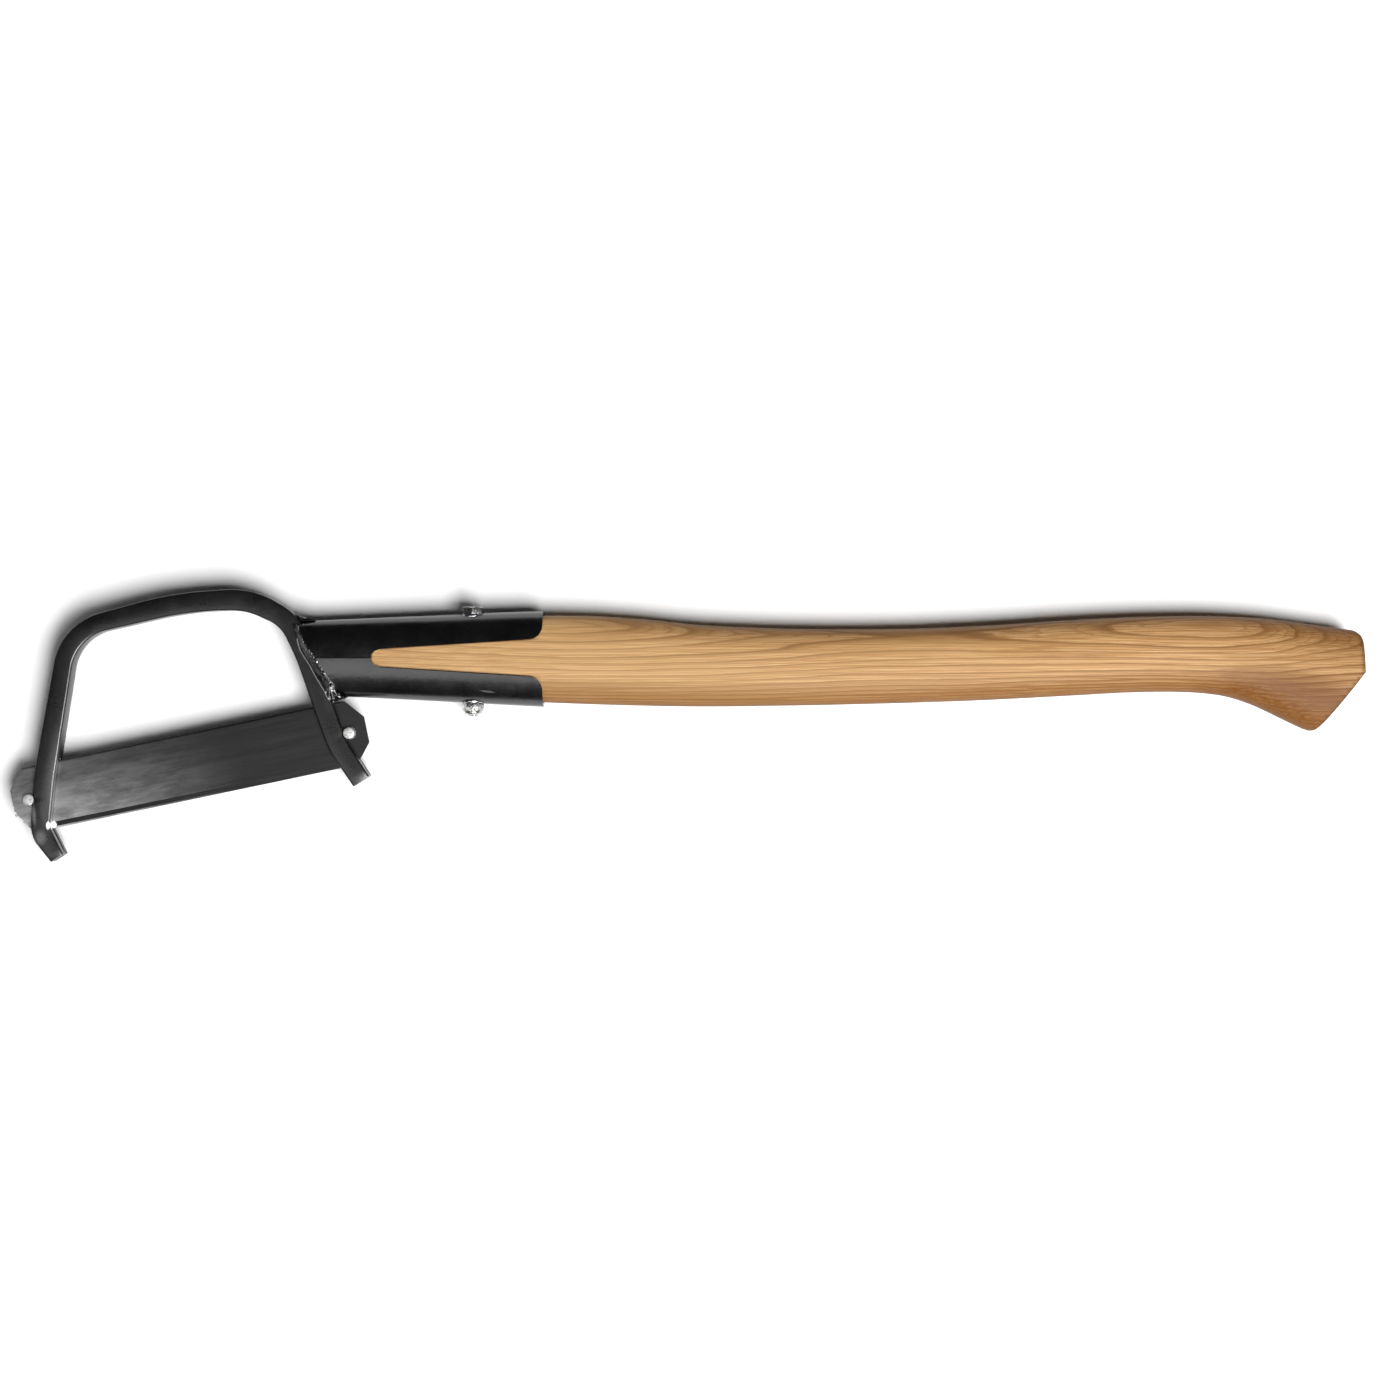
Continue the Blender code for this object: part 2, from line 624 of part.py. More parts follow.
def stand_on_origin(root):
    """Put the middle of the tool's underside on the world origin."""
    bpy.context.view_layer.update()
    graph = bpy.context.evaluated_depsgraph_get()
    corners = []
    for piece in root.children:
        if not piece.hide_render:
            solid = piece.evaluated_get(graph)
            corners += [solid.matrix_world @ vertex.co for vertex in solid.data.vertices]
    low = [min(corner[i] for corner in corners) for i in range(3)]
    high = [max(corner[i] for corner in corners) for i in range(3)]
    root.location = (-(low[0] + high[0]) / 2, -(low[1] + high[1]) / 2, -low[2])


def build():
    root = bpy.data.objects.new("brush_axe", None)
    bpy.context.scene.collection.objects.link(root)
    black = make_material("black_powder_coat", (0.022, 0.023, 0.025), 0.0, 0.42)
    blade_steel = make_material("brushed_blade_steel", (0.12, 0.12, 0.125), 0.9, 0.38)
    bright_steel = make_material("bright_pin_steel", (0.72, 0.72, 0.71), 0.9, 0.35)
    zinc = make_material("zinc_plated_steel", (0.55, 0.56, 0.58), 1.0, 0.28)
    nylon = make_material("insert_nylon", (0.12, 0.22, 0.5), 0.0, 0.5)
    ash = make_material("oiled_ash", (0.68, 0.43, 0.19), 0.0, 0.45)
    make_bow(root, black)
    make_blade(root, blade_steel)
    make_pins(root, bright_steel)
    make_handle(root, ash)
    make_socket(root, black)
    make_welds(root, black)
    make_bolt(root, zinc)
    make_washers(root, zinc)
    make_lock_nut(root, zinc, nylon)
    stand_on_origin(root)


clear_scene()
build()
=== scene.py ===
"""Looks of a brush axe, modelled around its frame.

Every detailed piece is modelled in millimetres around the socket bolt: X = 0 and Z = 0 on the
bolt's axis, Y = 0 on the seam of the socket. +X runs along the handle, +Y is the back of the
bow and +Z is up. place() then puts the piece on the frame.
"""

import math

import bmesh
import bpy
import numpy as np
from mathutils import Matrix, Vector, noise


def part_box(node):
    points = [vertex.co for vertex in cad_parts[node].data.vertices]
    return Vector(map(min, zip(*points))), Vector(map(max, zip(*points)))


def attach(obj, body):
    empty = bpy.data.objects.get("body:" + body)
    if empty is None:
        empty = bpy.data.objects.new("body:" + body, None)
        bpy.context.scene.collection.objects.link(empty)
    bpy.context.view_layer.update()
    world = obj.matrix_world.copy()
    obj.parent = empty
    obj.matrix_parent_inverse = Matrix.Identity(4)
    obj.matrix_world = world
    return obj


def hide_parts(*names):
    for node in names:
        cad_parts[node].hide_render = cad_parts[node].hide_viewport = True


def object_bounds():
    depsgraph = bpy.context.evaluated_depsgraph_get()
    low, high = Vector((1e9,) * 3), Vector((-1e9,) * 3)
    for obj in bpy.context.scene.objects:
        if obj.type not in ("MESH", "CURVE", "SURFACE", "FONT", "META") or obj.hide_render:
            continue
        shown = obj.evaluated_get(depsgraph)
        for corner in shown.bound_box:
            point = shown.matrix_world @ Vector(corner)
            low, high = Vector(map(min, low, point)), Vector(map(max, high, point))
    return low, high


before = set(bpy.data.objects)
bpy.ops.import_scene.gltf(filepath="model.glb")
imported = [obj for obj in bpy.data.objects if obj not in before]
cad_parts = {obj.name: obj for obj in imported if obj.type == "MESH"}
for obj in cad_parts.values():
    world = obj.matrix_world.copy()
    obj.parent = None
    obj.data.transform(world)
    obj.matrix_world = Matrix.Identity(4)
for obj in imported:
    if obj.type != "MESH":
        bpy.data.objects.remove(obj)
CAD_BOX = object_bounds()

MM = 0.001
BOLT_LOW, BOLT_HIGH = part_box("socket_bolt")
SEAM_Y = (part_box("lower_socket_shell")[1].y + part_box("upper_socket_shell")[0].y) / 2
ORIGIN = Vector(((BOLT_LOW.x + BOLT_HIGH.x) / 2, SEAM_Y, (BOLT_LOW.z + BOLT_HIGH.z) / 2))

# Clearances, and how far in every direction the cutters reach
GAP = 0.3
CLAMP_GAP = 0.15
CUT_REACH = 40
BOX_INSET = 1e-6                  # metres that every piece keeps inside the frame's box

# Bow. Corners of its centre line: x, y, bend radius, bar width
BAR_THICKNESS = 10.0
BAR_EDGE_RADIUS = 1.1
BOW_CORNERS = (
    (-210.9, -101.5, 0, 7.4),
    (-219.6, -87.8, 13, 9.9),
    (-217.4, -60.0, 150, 10.6),
    (-205.0, 14.3, 28, 9.5),
    (-148.0, 28.6, 180, 10.5),
    (-113.8, 30.2, 40, 10.8),
    (-93.0, 19.6, 24, 10.3),
    (-84.6, 1.0, 100, 10.0),
    (-68.7, -43.7, 40, 10.1),
    (-56.4, -62.4, 0, 9.8),
)

# Blade and its pins
FAR_PIN = Vector((-225.8, -72.1, 0))
NEAR_PIN = Vector((-62.9, -38.0, 0))
BLADE_SPAN = (NEAR_PIN - FAR_PIN).length
BLADE_MIDDLE = (NEAR_PIN + FAR_PIN) / 2
BLADE_SLOPE = math.atan2(NEAR_PIN.y - FAR_PIN.y, NEAR_PIN.x - FAR_PIN.x)
BLADE_WIDTH = 33.4
BLADE_THICKNESS = 1.5
BEVEL_WIDTHS = (3.4, 2.4)         # at the far and at the near end
BACK_BEVEL = (0.9, 0.3)           # width and depth of the small bevel behind each edge
EDGE_LAND = 0.18                  # flat that is left along each edge
TAB_LENGTH = 8.9
TAB_CORNER = 0.5
TAB_END_WIDTH = 13.4
BLADE_STATIONS = 161
BEVEL_WAVER = 0.12
EDGE_NICK = 0.05
SLOT_HEADROOM = 1.0
PIN_LENGTH = 7.0
NOTCH_DIAMETER = 6.9
PIN_HOLE_DIAMETER = 6.6
PIN_DOME = ((0.05, 0.0), (0.8, 0.02), (1.5, 0.06), (2.1, 0.13), (2.5, 0.24), (2.8, 0.42),
            (2.95, 0.7), (3.0, 1.1))   # radius, and drop below the top of the end
PIN_DENT = 0.14

# Handle: upper edge, lower edge and half thickness along X
HANDLE_TOP = (
    (-85, 16.9), (-20, 19.6), (38, 21.8), (65, 21.4), (90, 19.7), (115, 17.1), (145, 15.6),
    (185, 14.85), (225, 15.2), (265, 16.9), (310, 19.8), (350, 21.4), (385, 21.3), (410, 19.6),
    (430, 16.9), (447, 14.6), (470, 11.5),
)
HANDLE_BOTTOM = (
    (-85, -16.2), (-20, -19.5), (38, -22.5), (75, -23.8), (112, -24.5), (160, -24.1),
    (210, -23.0), (260, -21.3), (305, -19.0), (335, -17.4), (357, -17.1), (372, -17.8),
    (385, -19.7), (398, -24.0), (412, -30.6), (419, -34.0), (425, -36.6), (432, -37.4),
    (470, -37.8),
)
HANDLE_HALF_THICKNESS = (
    (-85, 7.1), (-40, 9.0), (0, 10.5), (38, 11.7), (110, 12.0), (185, 12.2), (260, 12.6),
    (330, 13.2), (400, 13.8), (470, 13.9),
)
OVAL_POWER = 2.4
OVAL_POINTS = 96
STATION_STEP = 2.5
TONGUE_FRONT = -60.0
BLANK_END_X = 466.0
BUTT_X = 451.0
BUTT_CORNER_RADIUS = 6.5
BUTT_CORNER_DROP = 5.4
HEEL = Vector((BUTT_X, -7.2, 0))
TOE_NORMAL = -38
TOE_CENTER = Vector((424.0, -29.4, 0))
TOE_RADIUS = 8.0
TRIM_STEP = 6                     # degrees between the cuts that round the butt

# Stain and painted shade of the handle: a band along each edge, as a share of its height, wider
# and darker at the knob, and a darker end. The bands paint the shade where the oval turns from the
# light, over denser grain. CREAM is where the wood grows paler towards the tongue.
KNOB_X = 420
KNOB_REACH = 38
EDGE_BAND = 0.3
KNOB_BAND = 0.25
LOW_SHADE_AND_STAIN = 0.85
KNOB_SHADE_AND_STAIN = 0.6
LOW_BAND_FADE = 0.6
HIGH_SHADE_AND_STAIN = 0.6
HIGH_BAND_X = 40
HIGH_BAND_RAMP = 40
END_STAIN = 0.35
END_STAIN_X = 360
END_STAIN_RAMP = 90
CREAM_END_X = 330
CREAM_LENGTH = 300
RIM_WIDTH = 0.9

# Socket shells
SHEET = 2.0
MOUTH_X = 36.1
SOCKET_FRONT_X = -95.0
APEX_X = -50.5
APEX_RADIUS = 4.3
V_START = (-45.5, 4.7)
V_END = (MOUTH_X - 7, 9.4)
MOUTH_CORNER_RADIUS = 7.0
SHELL_FRONT = ((-91.0, 25.0), (-85.0, 9.2), (-70.7, -12.0), (-66.5, -23.0))
AHEAD_X = -130                    # clear of the socket's front, for cutters
BEYOND = 60                       # clear of the socket's mouth and sides
FLANK_WIDTH = 12.0                # pressed flank of the lower shell, down from the seam
FLANK_SLOPE = 0.11                # its slope at the seam
FLANK_REACH = 8.0                 # half thickness from which it leans in full

# Welds
WELD_TOE = ((-91.4, 17.5), (-89.8, 11.3), (-88.0, 4.2), (-84.5, -1.0), (-79.3, -10.0),
            (-75.6, -16.6), (-73.2, -21.0))
WELD_HEIGHT = (1.2, 3.0, 3.5, 3.6, 3.5, 3.0, 0.9)
WELD_STATIONS = 170
WELD_ACROSS = 34
WELD_LIP = 0.55                   # height of the lip, and its distance from the toe
WELD_LUMPS = 0.55
WELD_ROOT = 0.4                   # how deep the beads reach into the steel below them
RIPPLE = 2.1                      # distance between the ripples of a bead
# Folds that stand proud of the bead: start, end, height, half width
WELD_FOLDS = (
    ((-71.4, -14.8), (-66.2, -13.9), 1.1, 0.55),
    ((-71.6, -14.6), (-72.6, -20.2), 1.0, 0.45),
    ((-71.2, -14.8), (-70.2, -20.6), 1.2, 0.45),
    ((-71.8, -14.4), (-74.4, -17.0), 0.7, 0.4),
    ((-80.0, 1.2), (-78.0, 0.1), 0.8, 0.4),
    ((-78.0, 0.1), (-76.3, 2.0), 0.9, 0.35),
)
BACK_WELD = ((-90.2, 22.6), (-88.3, 20.4), (-87.6, 19.55), (-80.0, 19.8), (-84.0, 20.4),
             (-87.6, 21.5))
THROAT_YS = (-9.5, -12.0, -19.7)  # heights of the throat weld along the shell's front
THROAT_END = ((-64.5, -19.95), (-66.8, -20.9))
THROAT_LOW_Y = -21.7

# Socket bolt, washers and lock nut
BOLT_DIAMETER = 6.0
BOLT_CLEARANCE_DIAMETER = 6.6
THREAD_PITCH = 1.0
THREAD_DEPTH = 0.42
THREAD_TOP_Y = -12.0
THREAD_STEPS = 8                  # rings along one turn of the thread
THREAD_SEGMENTS = 48
FASTENER_EDGE = 0.15              # rounding of the hexagons' edges
ACROSS_FLATS = 10.0
HEAD_HEIGHT = 3.8
WASHER_DIAMETER = 12.0
WASHER_HOLE_DIAMETER = 6.4
WASHER_THICKNESS = 1.4
SEAT_TOP = 20.7
SEAT_BOTTOM = -20.9
SEAT_DIAMETER = 12.8
BOSS_DIAMETER = 12.0
BOSS_RISE = 0.8
POCKET_DEPTH = 10.0
NUT_HEX_HEIGHT = 4.2
NUT_HEIGHT = 6.0
NUT_COLLAR_DIAMETER = 9.4
NUT_DOME = ((0.0, 1.3), (0.08, 0.9), (0.25, 0.5), (0.52, 0.2), (0.9, 0.02), (1.0, 0.0))
NUT_BORE_DIAMETER = 6.3
NUT_LIP = 0.4
INSERT_DIAMETER = 8.2
INSERT_HEIGHT = 1.3
BOLT_TIP_Y = -29.4
ALONG_BOLT = Matrix.Rotation(-math.pi / 2, 4, "X")   # lays Z along +Y


# ------------ mesh helpers

def place(bm):
    """From millimetres around the bolt to the frame's metres."""
    bm.transform(Matrix.Translation(ORIGIN) @ Matrix.Diagonal((MM, MM, MM, 1)))


def add_object(name, data):
    thing = bpy.data.objects.new(name, data)
    bpy.context.scene.collection.objects.link(thing)
    return thing


def make_mesh(name, bm, turn=None):
    if turn:
        bm.transform(turn)
    bmesh.ops.recalc_face_normals(bm, faces=bm.faces)
    mesh = bpy.data.meshes.new(name)
    bm.to_mesh(mesh)
    bm.free()
    return add_object(name, mesh)


def bake_modifiers(piece):
    """Apply the piece's modifiers to its mesh."""
    graph = bpy.context.evaluated_depsgraph_get()
    old = piece.data
    piece.data = bpy.data.meshes.new_from_object(piece.evaluated_get(graph))
    piece.modifiers.clear()
    bpy.data.meshes.remove(old)


def cut(piece, *tools, operation="DIFFERENCE"):
    """Boolean the tools into the piece one after the other, and remove them."""
    for tool in tools:
        modifier = piece.modifiers.new("cut", "BOOLEAN")
        modifier.operation = operation
        modifier.solver = "EXACT"
        modifier.object = tool
    bake_modifiers(piece)
    for tool in tools:
        bpy.data.objects.remove(tool, do_unlink=True)


def soften(piece, width, segments=2, angle=38):
    """Round off the sharp edges."""
    modifier = piece.modifiers.new("soften", "BEVEL")
    modifier.limit_method = "ANGLE"
    modifier.angle_limit = math.radians(angle)
    modifier.width = width
    modifier.segments = segments
    modifier.harden_normals = False
    bake_modifiers(piece)


def shade(piece, angle=35):
    piece.data.shade_smooth()
    piece.data.set_sharp_from_angle(angle=math.radians(angle))


def set_attribute(piece, name, values):
    attribute = piece.data.attributes.new(name, "FLOAT", "POINT")
    attribute.data.foreach_set("value", np.array(values, np.float32))


def finish_piece(piece, node, body, material, smooth_angle=35):
    """Move a finished piece onto the frame, in place of the node of that name."""
    piece.name = piece.data.name = "look_" + node
    bm = bmesh.new()
    bm.from_mesh(piece.data)
    bmesh.ops.remove_doubles(bm, verts=bm.verts, dist=1e-4)
    place(bm)
    low, high = CAD_BOX
    for vertex in bm.verts:
        vertex.co = [min(max(c, a + BOX_INSET), b - BOX_INSET)
                     for c, a, b in zip(vertex.co, low, high)]
    bm.to_mesh(piece.data)
    bm.free()
    shade(piece, smooth_angle)
    piece.data.materials.clear()
    piece.data.materials.append(material)
    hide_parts(node)
    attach(piece, body)


def loft(rings, closed=False):
    bm = bmesh.new()
    loops = [[bm.verts.new(point) for point in ring] for ring in rings]
    pairs = list(zip(loops, loops[1:]))
    if closed:
        pairs.append((loops[-1], loops[0]))
    else:
        bm.faces.new(loops[0])
        bm.faces.new(loops[-1])
    count = len(rings[0])
    for first, second in pairs:
        for i in range(count):
            j = (i + 1) % count
            bm.faces.new((first[i], first[j], second[j], second[i]))
    return bm


def prism(outline, low, high):
    return loft([[(x, y, z) for x, y in outline] for z in (low, high)])


def circle(radius, height, segments=64, turn=0.0):
    angles = [turn + 2 * math.pi * i / segments for i in range(segments)]
    return [(radius * math.cos(a), radius * math.sin(a), height) for a in angles]


def turned(profile, closed=False, segments=64):
    return loft([circle(radius, height, segments) for radius, height in profile], closed)


def both_faces(edge, low, high):
    """Profile that is the same at both faces, from (radius, distance from the face) pairs."""
    return [(r, low + h) for r, h in edge] + [(r, high - h) for r, h in reversed(edge)]


def drum(diameter, low, high, segments=64):
    return turned(((diameter / 2, low), (diameter / 2, high)), segments=segments)


def unit(value):
    """The value, kept within 0 and 1."""
    return max(0.0, min(1.0, value))


def heading(degrees):
    angle = math.radians(degrees)
    return Vector((math.cos(angle), math.sin(angle), 0))


def trim(bm, point, normal):
    """Cut everything off beyond a plane and close the cut."""
    geometry = bm.verts[:] + bm.edges[:] + bm.faces[:]
    bmesh.ops.bisect_plane(bm, geom=geometry, dist=1e-5, plane_co=point, plane_no=normal,
                           clear_outer=True)
    rim = [edge for edge in bm.edges if edge.is_boundary]
    bmesh.ops.holes_fill(bm, edges=rim, sides=0)


def smooth_line(points):
    """A smooth function through a few (x, y) pairs."""
    xs = np.array([x for x, _ in points], float)
    ys = np.array([y for _, y in points], float)
    slopes = np.gradient(ys, xs)

    def value(x):
        i = int(np.clip(np.searchsorted(xs, x) - 1, 0, len(xs) - 2))
        span = xs[i + 1] - xs[i]
        t = (x - xs[i]) / span
        step = t * t * (3 - 2 * t)
        start = slopes[i] * span * t * (1 - t) ** 2
        end = -slopes[i + 1] * span * t * t * (1 - t)
        return float(ys[i] * (1 - step) + ys[i + 1] * step + start + end)

    return value


HANDLE_TOP_AT = smooth_line(HANDLE_TOP)
HANDLE_BOTTOM_AT = smooth_line(HANDLE_BOTTOM)
HANDLE_HALF_AT = smooth_line(HANDLE_HALF_THICKNESS)


def arc(center, radius, start, end, steps):
    angles = np.radians(np.linspace(start, end, steps))
    return [(center[0] + radius * math.cos(a), center[1] + radius * math.sin(a)) for a in angles]


def rounded_path(corners, arc_step=2.0, straight_step=5.0):
    """Centre line through rounded corners, as (point, direction, width)."""
    points = [Vector(corner[:2]) for corner in corners]
    path = [(points[0], (points[1] - points[0]).normalized(), corners[0][3])]

    def run_to(target, way, width):
        start, _, old_width = path[-1]
        steps = max(1, math.ceil((target - start).length / straight_step))
        for k in range(1, steps):
            share = k / steps
            path.append((start.lerp(target, share), way, old_width + (width - old_width) * share))

    for i in range(1, len(points) - 1):
        way_in = (points[i] - points[i - 1]).normalized()
        way_out = (points[i + 1] - points[i]).normalized()
        turn = way_in.angle_signed(way_out)
        radius = corners[i][2]
        inward = Vector((way_in.y, -way_in.x)) * math.copysign(1, turn)
        start = points[i] - way_in * radius * math.tan(abs(turn) / 2)
        center = start + inward * radius
        run_to(start, way_in, corners[i][3])
        steps = max(2, math.ceil(math.degrees(abs(turn)) / arc_step))
        for k in range(steps + 1):
            turned_by = Matrix.Rotation(-turn * k / steps, 2)
            path.append((center + turned_by @ (start - center), turned_by @ way_in, corners[i][3]))
    last_way = (points[-1] - points[-2]).normalized()
    run_to(points[-1], last_way, corners[-1][3])
    path.append((points[-1], last_way, corners[-1][3]))
    return path


# ------------ node helpers

class Surface:
    """A procedural material whose coordinates are millimetres around the bolt."""

    def __init__(self, name, **constants):
        self.material = bpy.data.materials.new(name)
        self.material.use_nodes = True
        self.tree = self.material.node_tree
        self.shader = self.tree.nodes["Principled BSDF"]
        for socket, value in constants.items():
            self.shader.inputs[socket.replace("_", " ")].default_value = value
        coordinates = self.tree.nodes.new("ShaderNodeTexCoord")
        self.place = self.mapping(coordinates.outputs["Object"], scale=(1 / MM, 1 / MM, 1 / MM),
                                  location=tuple(-ORIGIN / MM))

    def add(self, kind, inputs=(), **properties):
        """A node, with its inputs given in order or by name."""
        node = self.tree.nodes.new("ShaderNode" + kind)
        for key, value in properties.items():
            setattr(node, key, value)
        for key, value in inputs.items() if isinstance(inputs, dict) else enumerate(inputs):
            self.feed(node.inputs[key], value)
        return node

    def feed(self, socket, value):
        if isinstance(value, bpy.types.NodeSocket):
            self.tree.links.new(value, socket)
        elif value is not None:
            socket.default_value = value

    def mapping(self, vector, scale=(1, 1, 1), location=(0, 0, 0), turn=0.0):
        return self.add("Mapping", {"Vector": vector, "Location": location,
                                    "Rotation": (0, 0, turn), "Scale": scale}).outputs["Vector"]

    def noise(self, vector, scale=1.0, detail=3.0, roughness=0.5):
        return self.add("TexNoise", {"Vector": vector, "Scale": scale, "Detail": detail,
                                     "Roughness": roughness}).outputs[0]

    def grain(self, vector, scale, detail=3.0, roughness=0.5):
        """Noise with its own scale along each axis."""
        return self.noise(self.mapping(vector, scale=scale), 1.0, detail, roughness)

    def calc(self, operation, a, b=None, c=None):
        return self.add("Math", (a, b, c), operation=operation).outputs[0]

    def times(self, a, b, plus=None):
        return self.calc("MULTIPLY" if plus is None else "MULTIPLY_ADD", a, b, plus)

    def span(self, value, from_low, from_high, to_low=0.0, to_high=1.0, smooth=True):
        kind = "SMOOTHSTEP" if smooth else "LINEAR"
        node = self.add("MapRange", (value, from_low, from_high, to_low, to_high),
                        interpolation_type=kind)
        return node.outputs[0]

    def blend(self, share, first, second):
        return self.add("Mix", {0: share, 6: first, 7: second}, data_type="RGBA").outputs[2]

    def ramp(self, value, *stops):
        node = self.add("ValToRGB", (value,))
        elements = node.color_ramp.elements
        while len(elements) < len(stops):
            elements.new(0.5)
        for element, (position, color) in zip(elements, stops):
            element.position = position
            element.color = (*color, 1.0)
        return node.outputs[0]

    def split(self, vector):
        return self.add("SeparateXYZ", (vector,)).outputs

    def attribute(self, name):
        return self.add("Attribute", attribute_name=name).outputs["Fac"]

    def spot(self, center, radii, turn, softness, ragged, grain=1.4):
        """1 inside an ellipsoid with a ragged rim, 0 outside."""
        shifted = self.add("VectorMath", (self.place, center), operation="SUBTRACT").outputs[0]
        turned_back = self.mapping(shifted, turn=-turn)
        scaled = self.add("VectorMath", (turned_back, radii), operation="DIVIDE").outputs[0]
        distance = self.add("VectorMath", (scaled,), operation="LENGTH").outputs["Value"]
        rim = self.times(self.noise(self.place, grain, 3.0), ragged, distance)
        middle = 1.0 + ragged / 2
        return self.span(rim, middle + softness, middle - softness)

    def set(self, **links):
        for socket, value in links.items():
            self.feed(self.shader.inputs[socket.replace("_", " ")], value)
        return self.material

    def finish(self, color, rough, height, distance, strength=0.5):
        """Colour, roughness and a bump of a height field; the distance is in metres."""
        bump = self.add("Bump", {"Strength": strength, "Distance": distance, "Height": height})
        return self.set(Base_Color=color, Roughness=rough, Normal=bump.outputs[0])


def gray(value):
    return (value, value, value, 1.0)


# ------------ materials

# Spots on the coat and blade: painted glints, painted reflections, painted shade in a dent and a
# scratch on a shell; each gives centre, radii, turn, softness and raggedness of the rim
BOW_GLINTS = (((-215.2, -84.9, 4.0), (1.0, 2.0, 3.0), 0.0, 0.25, 0.4),)
BOW_REFLECTIONS = (((-209.5, -60.0, 5.0), (5.0, 20.0, 3.0), -0.15, 0.9, 0.9),
                 ((-222.4, -79.6, 5.0), (1.0, 4.5, 3.0), 0.1, 0.6, 0.7),
                 ((-218.9, -91.0, 5.0), (2.4, 3.0, 3.0), 0.0, 0.7, 0.7))
BOW_DENT_SHADES = (((-217.2, -78.8, 5.0), (1.5, 5.0, 4.0), 0.12, 0.6, 0.5),)
SHELL_SCRATCHES = (((8.2, -16.9, 8.0), (3.4, 0.4, 6.0), -0.12, 0.5, 0.9),)
# painted glint on the blade's far corner
BLADE_GLINT = ((-213.9, -84.5, 0.0), (1.6, 1.7, 3.0), 0.0, 0.25, 0.4)

# Colours of coat and steel
COAT_TONES = ((0.3, (0.001, 0.001, 0.0011)), (0.7, (0.0024, 0.0024, 0.0026)))
COAT_PEEL = (0.004, 0.004, 0.0043, 1)
# painted shade of a dent, and the white of painted glints
DENT_SHADE = (0.002, 0.002, 0.002, 1)
GLINT_WHITE = (0.72, 0.71, 0.69, 1)
WELD_TONES = ((0.35, (0.002, 0.002, 0.0022)), (0.75, (0.006, 0.006, 0.0065)))
BLADE_DARK = ((0.34, (0.023, 0.023, 0.0235)), (0.66, (0.034, 0.034, 0.035)))
# tone of the painted reflection on the blade's flat
BLADE_REFLECTION = ((0.34, (0.42, 0.42, 0.42)), (0.66, (0.58, 0.58, 0.58)))
BLADE_EDGE = ((0.3, (0.015, 0.015, 0.0155)), (0.7, (0.03, 0.03, 0.03)))
PIN_TONES = ((0.36, (0.22, 0.22, 0.215)), (0.5, (0.46, 0.46, 0.45)))
ZINC_TONES = ((0.3, (0.56, 0.58, 0.62)), (0.5, (0.66, 0.66, 0.65)), (0.7, (0.64, 0.61, 0.54)))
NYLON_TONES = ((0.3, (0.07, 0.15, 0.4)), (0.7, (0.11, 0.22, 0.52)))


def coated_steel(name, ior, rough_range, glint_spots=(), scratches_and_reflections=(), dent_shades=()):
    """Satin black powder coat: fine orange peel, faint mottling, a scratch, and painted glints,
    reflections and dent shade.
    """
    s = Surface(name, IOR=ior)
    mottle = s.noise(s.place, 0.07, 4.0, 0.6)
    peel = s.noise(s.place, 0.8, 3.0, 0.6)
    color = s.ramp(mottle, *COAT_TONES)
    color = s.blend(s.span(peel, 0.5, 0.75), color, COAT_PEEL)
    rough = s.span(mottle, 0.3, 0.7, *rough_range)
    rough = s.times(peel, 0.04, rough)
    height = s.times(s.noise(s.place, 0.3, 2.0), 1.2, peel)
    # painted shade in a dent of the arm; the bump gives the dent itself
    for spot in dent_shades:
        mask = s.spot(*spot)
        color = s.blend(mask, color, DENT_SHADE)
        rough = s.times(mask, 0.25, rough)
        height = s.times(mask, -2.0, height)
    # lighter patches: painted reflections on the far arm, and a scratch on the shell
    for spot in scratches_and_reflections:
        mask = s.spot(*spot)
        color = s.blend(s.times(mask, 0.6), color, gray(0.12))
    # painted glints, white, with a slight dip in the bump
    for spot in glint_spots:
        mask = s.spot(*spot)
        color = s.blend(mask, color, GLINT_WHITE)
        height = s.times(mask, -1.0, height)
    return s.finish(color, rough, height, 0.00008)


def weld_coat():
    """The same coat, shinier over the welds, with painted highlights on a lip, folds and crown."""
    s = Surface("coated_weld", IOR=1.8)
    grain = s.noise(s.place, 0.9, 3.0, 0.6)
    color = s.ramp(grain, *WELD_TONES)
    # painted highlights on the weld's lip, folds and crown
    color = s.blend(s.attribute("painted_highlight"), color, gray(0.24))
    rough = s.span(grain, 0.3, 0.7, 0.16, 0.26)
    return s.finish(color, rough, grain, 0.00015)


